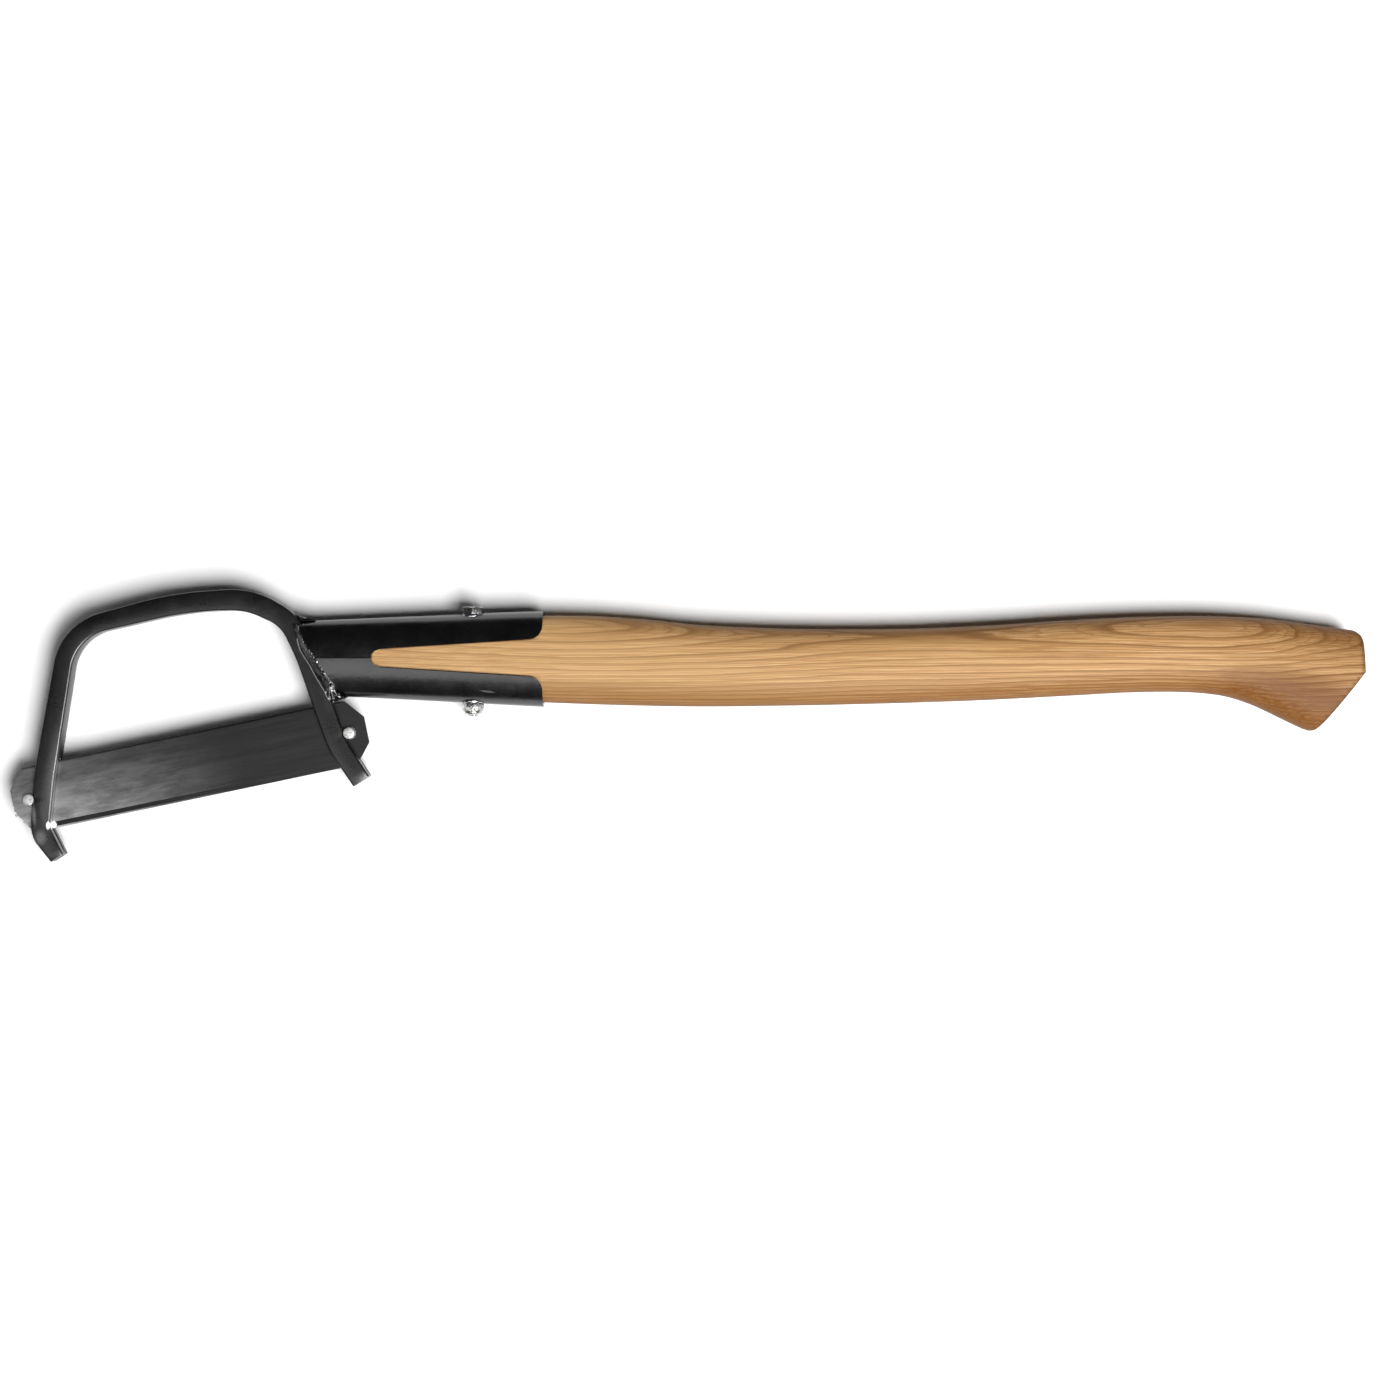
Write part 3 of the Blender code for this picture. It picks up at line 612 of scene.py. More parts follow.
def blade_steel():
    """Dark rolled steel with lengthwise grinding marks, and a painted reflection that brightens it
    towards the far tab and its lower edge.
    """
    s = Surface("brushed_blade_steel", Metallic=0.85)
    back = blade_turn().inverted()
    along = s.mapping(s.place, turn=-BLADE_SLOPE, location=tuple(back.translation))
    u, v, w = s.split(along)
    fine = s.grain(along, (0.03, 2.4, 1.0), 4.0, 0.65)
    broad = s.grain(along, (0.012, 0.2, 0.3), 3.0, 0.5)
    cloud = s.grain(along, (0.035, 0.12, 0.1), 8.0, 0.72)
    streak = s.times(fine, 0.5, s.times(broad, 0.5))
    dark = s.ramp(streak, *BLADE_DARK)
    # The lighter tone is a painted reflection, blended in patches towards the far tab and the
    # lower edge.
    light = s.ramp(streak, *BLADE_REFLECTION)
    reflection_reach = s.span(u, -95.0, 30.0, 1.0, 0.0)
    low = s.span(v, -17.0, 14.0, 1.0, 0.25)
    patchy = s.span(cloud, 0.34, 0.64, 0.45, 1.0)
    painted_reflection = s.times(s.times(reflection_reach, low), patchy)
    color = s.blend(painted_reflection, dark, light)
    half = BLADE_WIDTH / 2
    end = BLADE_SPAN / 2 + TAB_LENGTH
    bevel = s.span(u, -end, end, BEVEL_WIDTHS[0], BEVEL_WIDTHS[1], smooth=False)
    facing = s.times(v, s.calc("SIGN", w))
    ground = s.calc("LESS_THAN", facing, s.calc("SUBTRACT", bevel, half))
    edge = s.ramp(fine, *BLADE_EDGE)
    color = s.blend(ground, color, edge)
    at_tab = s.span(u, -end + 7.0, -end + 2.0)
    flecks = s.times(s.span(s.noise(s.place, 0.8, 5.0, 0.7), 0.56, 0.68), at_tab)
    color = s.blend(s.times(flecks, 0.5), color, gray(0.4))
    corner, way = tab_cut()
    folded = s.add("VectorMath", (along,), operation="ABSOLUTE").outputs[0]
    outward = s.add("VectorMath", (folded, tuple(way)), operation="DOT_PRODUCT").outputs["Value"]
    slant = s.calc("SUBTRACT", outward, corner.dot(way))
    outside = s.calc("MAXIMUM", slant, s.calc("SUBTRACT", s.calc("ABSOLUTE", u), end))
    rubbed = s.span(s.noise(s.place, 0.3, 3.0), 0.45, 0.55)
    rim = s.times(s.span(outside, -1.3, -0.5), rubbed)
    rim = s.times(rim, s.span(v, 6.0, -3.0))
    color = s.blend(s.times(rim, at_tab), color, gray(0.9))
    # a painted glint on the far corner
    color = s.blend(s.spot(*BLADE_GLINT), color, gray(0.95))
    rough = s.span(fine, 0.25, 0.75, 0.32, 0.44)
    height = s.times(broad, 0.6, fine)
    return s.finish(color, rough, height, 0.00004)


def pin_steel():
    """Bright cut and hammered pin ends."""
    s = Surface("bright_pin_steel", Metallic=0.35, IOR=1.9)
    dents = s.noise(s.place, 0.8, 4.0, 0.6)
    fine = s.noise(s.place, 3.0, 2.0)
    color = s.ramp(dents, *PIN_TONES)
    rough = s.span(fine, 0.3, 0.7, 0.32, 0.5)
    height = s.times(fine, 0.2, dents)
    return s.finish(color, rough, height, 0.0003, 0.6)


def zinc_plate():
    """Bright zinc plating with a faint bluish and yellowish passivation."""
    s = Surface("zinc_plated_steel", Metallic=1.0)
    tint = s.noise(s.place, 0.25, 3.0)
    fine = s.noise(s.place, 0.75, 3.0, 0.6)
    color = s.ramp(tint, *ZINC_TONES)
    color = s.blend(s.span(fine, 0.46, 0.62, 0.0, 0.85), color, gray(0.08))
    rough = s.span(fine, 0.3, 0.7, 0.18, 0.34)
    return s.finish(color, rough, fine, 0.0002, 0.6)


def insert_nylon():
    s = Surface("insert_nylon", IOR=1.53)
    fine = s.noise(s.place, 1.5, 3.0)
    color = s.ramp(fine, *NYLON_TONES)
    return s.finish(color, s.span(fine, 0.3, 0.7, 0.4, 0.55), fine, 0.00003)


# Growth rings: height of one ring line on the upper face, along the handle
GRAIN_DRIFT = ((-60, -3.4), (44, -2.9), (110, -1.7), (146, -0.4), (197, 2.3), (248, 3.6),
               (299, 5.1), (350, 5.2), (385, 4.9), (427, 7.4), (460, 9.5))
DRIFT_RANGE = 10.0                # the ring line stays within this distance of the seam
RING_SPACING = 3.45
RING_TILT = 1.45                  # rise of the ring planes across the handle
FACE_Z = 12.0
SHELL_SHADOW_WIDTH = 0.7                   # width of the painted shadow in the wood along the shells

# Colours of the wood
EARLY_WOOD = ((0.38, (0.24, 0.114, 0.037)), (0.49, (0.385, 0.219, 0.092)),
              (0.6, (0.485, 0.313, 0.155)))
LATE_WOOD = (0.215, 0.1, 0.031, 1)
RING_LINE = (0.08, 0.03, 0.007, 1)
FINE_LINE = (0.175, 0.08, 0.025, 1)
PORE_LINE = (0.14, 0.06, 0.018, 1)
OIL_CLOUD = (0.3, 0.166, 0.062, 1)
CREAM = (0.443, 0.282, 0.129, 1)
# stain, with painted shade along the edges and at the knob
SHADE_AND_STAIN_TONE = (0.105, 0.034, 0.003, 1)
# painted shade: the shadow along the shells and inside the socket, and the dark rim of the butt
DARK_RIM_AND_SHADE = (0.05, 0.021, 0.006, 1)


def grain_drift(s, x):
    """Height of the ring line at x."""
    low, high = GRAIN_DRIFT[0][0], GRAIN_DRIFT[-1][0]
    drift = s.add("FloatCurve")
    curve = drift.mapping.curves[0]
    spots = [((px - low) / (high - low), (py + DRIFT_RANGE) / (2 * DRIFT_RANGE))
             for px, py in GRAIN_DRIFT]
    curve.points[0].location = spots[0]
    curve.points[-1].location = spots[-1]
    for spot in spots[1:-1]:
        curve.points.new(*spot)
    drift.mapping.update()
    s.feed(drift.inputs["Value"], s.span(x, low, high, smooth=False))
    return s.times(drift.outputs[0], 2 * DRIFT_RANGE, -DRIFT_RANGE)


def oiled_ash():
    """Ash with tilted growth rings, fine pores along the grain and a warm oil finish."""
    s = Surface("oiled_ash", IOR=1.46, Specular_IOR_Level=0.16)
    x, y, z = s.split(s.place)
    slow = s.grain(s.place, (0.006, 0.09, 0.09), 2.0)
    wander = s.grain(s.place, (0.03, 0.25, 0.25), 2.0)
    level = s.calc("SUBTRACT", y, grain_drift(s, x))
    level = s.times(s.calc("SUBTRACT", z, FACE_Z), RING_TILT, level)
    level = s.times(s.calc("SUBTRACT", slow, 0.5), 5.0, level)
    level = s.times(s.calc("SUBTRACT", wander, 0.5), 1.2, level)
    rings = s.calc("DIVIDE", level, RING_SPACING)
    phase = s.calc("FRACT", rings)
    ring_tone = s.add("TexWhiteNoise", {"W": s.calc("FLOOR", rings)}, noise_dimensions="1D")
    tone = ring_tone.outputs["Value"]

    fibre = s.grain(s.place, (0.009, 1.5, 1.5), 5.0, 0.7)
    pores = s.grain(s.place, (0.11, 5.0, 5.0), 3.0, 0.6)
    cloud = s.grain(s.place, (0.008, 0.05, 0.05), 3.0)

    early = s.ramp(fibre, *EARLY_WOOD)
    band = s.span(phase, 0.25, 0.9)
    color = s.blend(s.times(band, s.span(tone, 0.0, 1.0, 0.45, 0.9)), early, LATE_WOOD)
    line = s.times(s.span(phase, 0.72, 0.93), s.span(phase, 0.93, 0.99, 1.0, 0.0))
    line = s.times(line, s.span(tone, 0.0, 1.0, 0.6, 1.0))
    line = s.times(line, s.span(fibre, 0.25, 0.55, 0.7, 1.0))
    color = s.blend(line, color, RING_LINE)
    fine_line = s.span(s.calc("FRACT", s.times(rings, 3.0)), 0.64, 0.95)
    fine_line = s.times(fine_line, s.span(slow, 0.4, 0.6, 0.4, 0.85))
    color = s.blend(fine_line, color, FINE_LINE)
    early_line = s.times(s.span(phase, 0.02, 0.3, 1.0, 0.0), s.span(pores, 0.5, 0.6))
    color = s.blend(s.times(early_line, 0.5), color, PORE_LINE)
    color = s.blend(s.span(cloud, 0.35, 0.7, 0.0, 0.3), color, OIL_CLOUD)
    color = s.blend(s.times(s.attribute("tongue"), 0.42), color, CREAM)
    # stain, with painted shade along both edges and at the knob
    stain_and_shade = s.times(s.attribute("stain_and_shade"), s.span(fibre, 0.3, 0.6, 1.0, 0.8))
    color = s.blend(stain_and_shade, color, SHADE_AND_STAIN_TONE)
    # painted shadow along the V's edges and painted shade on the wood inside the socket; the
    # butt's rim is dark as well
    slope = (V_END[1] - V_START[1]) / (V_END[0] - V_START[0])
    from_edge = s.times(x, -slope, s.calc("ABSOLUTE", y))
    edge = V_START[1] - slope * V_START[0]
    shell_shadow = s.span(from_edge, edge - SHELL_SHADOW_WIDTH, edge)
    shell_shadow = s.times(shell_shadow, s.span(x, V_END[0], MOUTH_X, 1.0, 0.0))
    socket_shade = s.span(x, APEX_X + 1.0, APEX_X - 0.3)
    dark_rim_and_shade = s.calc("MAXIMUM", s.attribute("rim"), s.calc("MAXIMUM", shell_shadow, socket_shade))
    color = s.blend(s.times(dark_rim_and_shade, 0.8), color, DARK_RIM_AND_SHADE)
    rough = s.span(fibre, 0.3, 0.7, 0.46, 0.62)
    height = s.times(pores, 0.5, fibre)
    height = s.times(line, 0.4, height)
    return s.finish(color, rough, height, 0.00008)


# ------------ bow, blade and pins

def bar_section(point, way, width):
    """Square section of the bar with rounded edges."""
    across = Vector((-way.y, way.x))
    inner_a = width / 2 - BAR_EDGE_RADIUS
    inner_b = BAR_THICKNESS / 2 - BAR_EDGE_RADIUS
    ring = []
    for side_a, side_b, start in ((1, 1, 0), (-1, 1, 90), (-1, -1, 180), (1, -1, 270)):
        corner = arc((side_a * inner_a, side_b * inner_b), BAR_EDGE_RADIUS, start, start + 90, 5)
        for offset, z in corner:
            flat = point + across * offset
            ring.append((flat.x, flat.y, z))
    return ring


def blade_turn():
    return Matrix.Translation(BLADE_MIDDLE) @ Matrix.Rotation(BLADE_SLOPE, 4, "Z")


def pin_cutters(diameter, reach=12):
    return [make_mesh("cutter", drum(diameter, -reach, reach), Matrix.Translation(pin))
            for pin in (FAR_PIN, NEAR_PIN)]


def make_bow(material):
    bow = make_mesh("bow", loft([bar_section(*sample) for sample in rounded_path(BOW_CORNERS)]))
    half = BLADE_THICKNESS / 2 + GAP
    reach = BLADE_SPAN / 2 + 40
    top = BLADE_WIDTH / 2 + SLOT_HEADROOM
    slot = make_mesh("slot", prism(((-reach, -90), (reach, -90), (reach, top), (-reach, top)),
                                   -half, half), blade_turn())
    cut(bow, slot, *pin_cutters(NOTCH_DIAMETER))
    soften(bow, 0.22)
    finish_piece(bow, "bow_frame", "tool", material)


def tab_cut():
    """A point of the slanted cut at a corner of the blade, and the way the cut faces."""
    corner = Vector((BLADE_SPAN / 2 + TAB_CORNER, BLADE_WIDTH / 2, 0))
    tab_end = Vector((BLADE_SPAN / 2 + TAB_LENGTH, TAB_END_WIDTH / 2, 0))
    return corner, Vector((corner.y - tab_end.y, tab_end.x - corner.x, 0)).normalized()


def make_blade(material):
    """Flat blade, ground along both long edges on opposite faces."""
    half_width = BLADE_WIDTH / 2
    half_thickness = BLADE_THICKNESS / 2
    small_width, small_depth = BACK_BEVEL
    end = BLADE_SPAN / 2 + TAB_LENGTH
    rings = []
    for x in np.linspace(-end, end, BLADE_STATIONS):
        share = (x + end) / (2 * end)
        waver = BEVEL_WAVER * noise.noise(Vector((x / 9, 0, 3.7)))
        bevel = BEVEL_WIDTHS[0] + (BEVEL_WIDTHS[1] - BEVEL_WIDTHS[0]) * share + waver
        nick = EDGE_NICK * max(0.0, noise.noise(Vector((x / 1.7, 8.1, 0))))
        side = (
            (half_width - small_width, half_thickness),
            (half_width - nick, half_thickness - small_depth),
            (half_width - nick, half_thickness - small_depth - EDGE_LAND),
            (half_width - bevel, -half_thickness),
        )
        rings.append([(x, y, z) for y, z in side] + [(x, -y, -z) for y, z in side])
    bm = loft(rings)
    corner, normal = tab_cut()
    for side_x in (-1, 1):
        for side_y in (-1, 1):
            mirror = Vector((side_x, side_y, 1))
            trim(bm, corner * mirror, normal * mirror)
    blade = make_mesh("blade", bm, blade_turn())
    cut(blade, *pin_cutters(PIN_HOLE_DIAMETER, 6))
    soften(blade, 0.09, angle=30)
    finish_piece(blade, "blade", "tool", material, 8)


def make_pins(material):
    """Straight pins with slightly domed, hammered ends."""
    half = PIN_LENGTH / 2
    for seed, (node, body, pin) in enumerate((("far_blade_pin", "far_pin", FAR_PIN),
                                              ("near_blade_pin", "near_pin", NEAR_PIN))):
        bm = turned(both_faces(PIN_DOME, -half, half), segments=72)
        for vertex in bm.verts:
            if abs(vertex.co.z) > half - 0.45:
                bump = noise.noise(vertex.co * 0.9 + Vector((seed * 31.0, 4.0, 0)))
                vertex.co.z -= math.copysign(PIN_DENT * abs(bump), vertex.co.z)
        finish_piece(make_mesh("pin", bm, Matrix.Translation(pin)), node, body,
                     material)


# ------------ handle and socket

def oval_ring(x, grow):
    top = HANDLE_TOP_AT(x) + grow
    bottom = HANDLE_BOTTOM_AT(x) - grow
    half = HANDLE_HALF_AT(x) + grow
    middle = (top + bottom) / 2
    height = (top - bottom) / 2
    ring = []
    for i in range(OVAL_POINTS):
        a = 2 * math.pi * i / OVAL_POINTS
        c = math.cos(a)
        s = math.sin(a)
        y = middle + height * math.copysign(abs(c) ** (2 / OVAL_POWER), c)
        z = half * math.copysign(abs(s) ** (2 / OVAL_POWER), s)
        ring.append((x, y, z))
    return ring


def oval_loft(start, end, grow=0.0):
    """The handle's oval body, or one that stands off it by grow."""
    stations = np.linspace(start, end, max(2, round((end - start) / STATION_STEP) + 1))
    return loft([oval_ring(float(x), grow) for x in stations])


def seat_drum(name, diameter, side, inward, outward):
    """A drum on the bolt's axis around the upper (+1) or lower (-1) seat."""
    seat = SEAT_TOP if side > 0 else SEAT_BOTTOM
    ends = sorted((seat - side * inward, seat + side * outward))
    return make_mesh(name, drum(diameter, *ends), ALONG_BOLT)


def paint_handle(handle):
    """Where the wood is stained and shade is painted along its edges, paler towards the tongue,
    and dark along the rim of the butt.
    """
    stain_and_shade = []
    tongue = []
    rim = []
    for vertex in handle.data.vertices:
        x, y, _ = vertex.co
        bottom_y = HANDLE_BOTTOM_AT(x)
        height = (y - bottom_y) / (HANDLE_TOP_AT(x) - bottom_y)
        knob = math.exp(-((x - KNOB_X) / KNOB_REACH) ** 2)
        # the edge bands paint shade where the oval turns from the light, over denser grain
        low = max(0.0, 1 - height / (EDGE_BAND + KNOB_BAND * knob)) ** LOW_BAND_FADE
        high = max(0.0, 1 - (1 - height) / EDGE_BAND)
        high *= unit((x - HIGH_BAND_X) / HIGH_BAND_RAMP)
        end = max(0.0, (x - END_STAIN_X) / END_STAIN_RAMP)
        low *= LOW_SHADE_AND_STAIN + KNOB_SHADE_AND_STAIN * knob
        stain_and_shade.append(min(1.0, low + HIGH_SHADE_AND_STAIN * high + END_STAIN * end))
        tongue.append(unit((CREAM_END_X - x) / CREAM_LENGTH))
        slant = (vertex.co - HEEL).dot(heading(TOE_NORMAL))
        rim.append(unit(1 + max(slant, x - BUTT_X) / RIM_WIDTH))
    set_attribute(handle, "stain_and_shade", stain_and_shade)
    set_attribute(handle, "tongue", tongue)
    set_attribute(handle, "rim", rim)


def make_handle(material):
    bm = oval_loft(TONGUE_FRONT, BLANK_END_X)
    corner = Vector((BUTT_X - BUTT_CORNER_RADIUS, HANDLE_TOP_AT(BUTT_X) - BUTT_CORNER_DROP, 0))
    for degrees in range(0, 78, TRIM_STEP):
        way = heading(degrees)
        trim(bm, corner + way * BUTT_CORNER_RADIUS, way)
    trim(bm, HEEL, heading(TOE_NORMAL))
    for degrees in range(-44, -92, -TRIM_STEP):
        way = heading(degrees)
        trim(bm, TOE_CENTER + way * TOE_RADIUS, way)
    handle = make_mesh("handle", bm)
    bore = make_mesh("bore", drum(BOLT_CLEARANCE_DIAMETER, -30, 30), ALONG_BOLT)
    reliefs = [seat_drum("relief", BOSS_DIAMETER + 2 * GAP, side, SHEET + GAP, POCKET_DEPTH)
               for side in (1, -1)]
    cut(handle, bore, *reliefs)
    soften(handle, 0.45, 3, 32)
    paint_handle(handle)
    finish_piece(handle, "handle", "tool", material, 30)


def opening_outline():
    """Outline of the V between the shells, seen along Z, open beyond the mouth."""
    nose = arc((APEX_X + APEX_RADIUS, 0), APEX_RADIUS, 180, 105, 12)
    slope = math.degrees(math.atan2(V_END[1] - V_START[1], V_END[0] - V_START[0]))
    corner_center = (V_END[0], V_END[1] + MOUTH_CORNER_RADIUS)
    corner = arc(corner_center, MOUTH_CORNER_RADIUS, -90 + slope, 0, 12)
    beyond = MOUTH_X + 20
    upper = nose + [V_START] + corner
    upper += [(corner[-1][0], corner[-1][1] + 3), (beyond, corner[-1][1] + 3)]
    lower = [(x, -y) for x, y in reversed(upper[1:])]
    return upper + lower


def arm_clearance():
    """The bar of the bow with a gap all round, which the shells straddle."""
    rings = []
    half = BAR_THICKNESS / 2 + GAP
    for point, way, width in rounded_path(BOW_CORNERS):
        across = Vector((-way.y, way.x)) * (width / 2 + GAP)
        left = point + across
        right = point - across
        rings.append([(left.x, left.y, half), (right.x, right.y, half),
                      (right.x, right.y, -half), (left.x, left.y, -half)])
    return loft(rings)


def lean_flank(bm):
    """Press the faces of the lower shell inwards, most of all along its lower half."""
    for vertex in bm.verts:
        depth = abs(vertex.co.z)
        share = unit(-vertex.co.y / FLANK_WIDTH)
        lean = FLANK_WIDTH * FLANK_SLOPE * (share - share ** 2 / 2)
        depth -= lean * min(1.0, depth / FLANK_REACH)
        vertex.co.z = math.copysign(depth, vertex.co.z)


def make_shell(node, side, material):
    """One pressed shell: side is +1 for the upper one, -1 for the lower one."""
    outside = oval_loft(SOCKET_FRONT_X, MOUTH_X, GAP + SHEET)
    if side < 0:
        lean_flank(outside)
    shell = make_mesh("shell", outside)
    cut(shell, make_mesh("core", oval_loft(SOCKET_FRONT_X - 9, MOUTH_X + 9, GAP)))
    cut(shell, seat_drum("boss", BOSS_DIAMETER, side, SHEET, BOSS_RISE), operation="UNION")
    seam = side * GAP / 2
    far_side = -side * BEYOND
    half = ((AHEAD_X, seam), (BEYOND, seam), (BEYOND, far_side), (AHEAD_X, far_side))
    front = SHELL_FRONT + ((AHEAD_X, SHELL_FRONT[-1][1]), (AHEAD_X, SHELL_FRONT[0][1]))
    cut(shell,
        seat_drum("pocket", SEAT_DIAMETER, side, 0, POCKET_DEPTH),
        make_mesh("hole", drum(BOLT_CLEARANCE_DIAMETER, -CUT_REACH, CUT_REACH), ALONG_BOLT),
        make_mesh("half", prism(half, -CUT_REACH, CUT_REACH)),
        make_mesh("opening", prism(opening_outline(), -CUT_REACH, CUT_REACH)),
        make_mesh("front", prism(front, -CUT_REACH, CUT_REACH)),
        make_mesh("arm", arm_clearance()))
    soften(shell, 0.45, 3, 40)
    finish_piece(shell, node, "tool", material)


# ------------ welds

def front_edge_at(y):
    ys = [point[1] for point in reversed(SHELL_FRONT)]
    xs = [point[0] for point in reversed(SHELL_FRONT)]
    return float(np.interp(y, ys, xs))


def fold_height(x, y):
    total = 0.0
    for (ax, ay), (bx, by), height, width in WELD_FOLDS:
        length_squared = (bx - ax) ** 2 + (by - ay) ** 2
        share = ((x - ax) * (bx - ax) + (y - ay) * (by - ay)) / length_squared
        share = unit(share)
        gap = math.hypot(x - ax - share * (bx - ax), y - ay - share * (by - ay))
        total = max(total, height * math.exp(-(gap / width) ** 2) * (1 - 0.4 * share))
    return total


def make_side_weld(node, side, material):
    """Fillet on a face of the arm: a lip at its toe, a hollow body and a lumpy crown."""
    base = BAR_THICKNESS / 2 + 0.05
    toe_ys = [y for _, y in reversed(WELD_TOE)]
    toe_xs = [x for x, _ in reversed(WELD_TOE)]
    heights = WELD_HEIGHT[::-1]
    rings = []
    painted_highlight = []
    for k in range(WELD_STATIONS):
        y = toe_ys[0] + (toe_ys[-1] - toe_ys[0]) * k / (WELD_STATIONS - 1)
        waver = 0.3 * noise.noise(Vector((y / 3.1, 1.5, side)))
        wall = front_edge_at(y) + 0.1
        toe = float(np.interp(y, toe_ys, toe_xs)) + waver
        width = wall - toe
        height = float(np.interp(y, toe_ys, heights))
        root = side * (base - WELD_ROOT)
        ring = [(wall, y, root), (toe, y, root)]
        painted_highlight += [0.0, 0.0]
        for i in range(WELD_ACROSS):
            v = i / (WELD_ACROSS - 1)
            x = toe + width * v
            lip = WELD_LIP * math.exp(-((width * v - WELD_LIP) / 0.42) ** 2)
            rise = height * (0.06 + 0.94 * unit((v - 0.1) / 0.7) ** 1.3)
            crescent = (y + 1.0 * math.sin(math.pi * v)) / RIPPLE
            ripple = 0.3 * (abs(math.sin(math.pi * crescent)) - 0.5) * max(0.0, v - 0.35)
            bulge = WELD_LUMPS * noise.noise(Vector((x / 2.4, y / 2.4, 7.7 * side))) * v
            z = base + lip + rise + ripple + bulge + fold_height(x, y) * min(1.0, 4 * v)
            limit = base + height + 0.35
            ring.append((x, y, side * min(z, limit + 0.3 * (z - limit))))
            # painted highlights: a line along the lip, speckles on the crown, and the folds
            lip_highlight = math.exp(-((width * v - 0.5) / 0.26) ** 2) * unit(10 - y)
            speckle = noise.noise(Vector((x / 0.9, y / 1.5, 2.3 * side)))
            crown = unit(4 * speckle - 0.4) * unit((v - 0.78) * 7)
            fold = unit((fold_height(x, y) - 0.45) * 2)
            painted_highlight.append(min(1.0, 0.8 * lip_highlight + 0.9 * crown + fold))
        rings.append(ring)
    weld = make_mesh("weld", loft(rings))
    set_attribute(weld, "painted_highlight", painted_highlight)
    finish_piece(weld, node, "tool", material, 60)


def lump(outline, half, dome, seed, ripple_way):
    """A weld that fills an outline: a dome above and below, with ripples along ripple_way."""
    points = [Vector((x, y, 0)) for x, y in outline]
    center = sum(points, Vector()) / len(points)
    loops = []
    steps = 14
    smooth = []
    for a, b in zip(points, points[1:] + points[:1]):
        count = max(2, math.ceil((b - a).length / 0.5))
        smooth += [a.lerp(b, k / count) for k in range(count)]
    for side in (-1, 1):
        for k in range(steps):
            r = (k + 0.6) / (steps - 0.4) if side < 0 else 1 - k / (steps - 0.4)
            ring = []
            for point in smooth:
                flat = center.lerp(point, r)
                rise = dome * math.sqrt(max(0.0, 1 - r * r))
                wave = 0.25 * abs(math.sin(math.pi * flat.dot(ripple_way) / RIPPLE))
                rough = 0.7 * noise.noise(Vector((flat.x / 1.6, flat.y / 1.6, seed + side)))
                z = side * (half + rise + (wave + rough) * (1 - r) ** 0.5)
                ring.append((flat.x, flat.y, z))
            loops.append(ring)
    return loft(loops)


def arm_edge_at(y):
    """X just outside the near arm's outer edge, along its straight stretch beside the socket."""
    start, end = (Vector(BOW_CORNERS[i][:2]) for i in (7, 8))
    way = (end - start).normalized()
    middle = start.x + (y - start.y) * way.x / way.y
    return middle + (BOW_CORNERS[8][3] / 2 + GAP / 2) / abs(way.y)


def make_welds(material):
    make_side_weld("front_side_weld", 1, material)
    make_side_weld("back_side_weld", -1, material)
    bm = lump(BACK_WELD, 3.2, 1.2, 3.0, Vector((0.9, -0.4, 0)))
    finish_piece(make_mesh("weld", bm), "upper_weld", "tool", material, 50)
    throat = [(arm_edge_at(THROAT_YS[0]), THROAT_YS[0])]
    throat += [(front_edge_at(y) - 0.1, y) for y in THROAT_YS]
    throat += [*THROAT_END, (arm_edge_at(THROAT_LOW_Y), THROAT_LOW_Y)]
    bm = lump(throat, 4.6, 1.9, 8.0, Vector((0.5, 0.87, 0)))
    finish_piece(make_mesh("weld", bm), "lower_weld", "tool", material, 50)


# ------------ fasteners

def hexagon(name, low, high, turn):
    """A hexagon on the bolt's axis whose corners are taken off by a turned form."""
    blank = loft([circle(ACROSS_FLATS / math.sqrt(3), z, 6, turn) for z in (low, high)])
    piece = make_mesh(name, blank, ALONG_BOLT)
    wide = ACROSS_FLATS * 0.62
    face = ACROSS_FLATS * 0.475
    drop = (wide - face) * math.tan(math.radians(30))
    form = turned(both_faces(((face, 0.0), (wide, drop)), low, high))
    cut(piece, make_mesh("form", form, ALONG_BOLT), operation="INTERSECT")
    soften(piece, FASTENER_EDGE, angle=25)
    return piece


def threaded_shank(low, thread_top, high):
    """Round shank along Z with a rolled thread at its lower end."""
    radius = BOLT_DIAMETER / 2
    step = THREAD_PITCH / THREAD_STEPS
    rings = []
    count = round((thread_top - low) / step)
    for k in range(count + 1):
        z = low + k * step
        fade = min(1.0, (count - k) / 10)
        lead_in = max(0.0, 0.7 - (z - low))
        ring = []
        for i in range(THREAD_SEGMENTS):
            turn = i / THREAD_SEGMENTS
            wave = abs(2 * ((z / THREAD_PITCH - turn) % 1.0) - 1)
            groove = THREAD_DEPTH * min(1.0, 1.35 * wave) * fade
            r = min(radius - groove, radius - lead_in * 0.9)
            ring.append((r * math.cos(2 * math.pi * turn), r * math.sin(2 * math.pi * turn), z))
        rings.append(ring)
    rings.append(circle(radius, high, THREAD_SEGMENTS))
    return loft(rings)


def make_bolt(material):
    under_head = SEAT_TOP + CLAMP_GAP + WASHER_THICKNESS + CLAMP_GAP
    bolt = hexagon("bolt", under_head, under_head + HEAD_HEIGHT, math.pi / 2)
    shank = make_mesh("shank", threaded_shank(BOLT_TIP_Y, THREAD_TOP_Y, under_head + 1),
                      ALONG_BOLT)
    cut(bolt, shank, operation="UNION")
    finish_piece(bolt, "socket_bolt", "tool", material, 30)


def make_washer(node, low, body, material):
    inner = WASHER_HOLE_DIAMETER / 2
    outer = WASHER_DIAMETER / 2
    edge = ((inner, 0.1), (inner + 0.1, 0.0), (outer - 0.3, 0.0), (outer - 0.09, 0.1),
            (outer, 0.3))
    profile = both_faces(edge, low, low + WASHER_THICKNESS)
    piece = make_mesh("washer", turned(profile, closed=True, segments=96), ALONG_BOLT)
    finish_piece(piece, node, body, material)


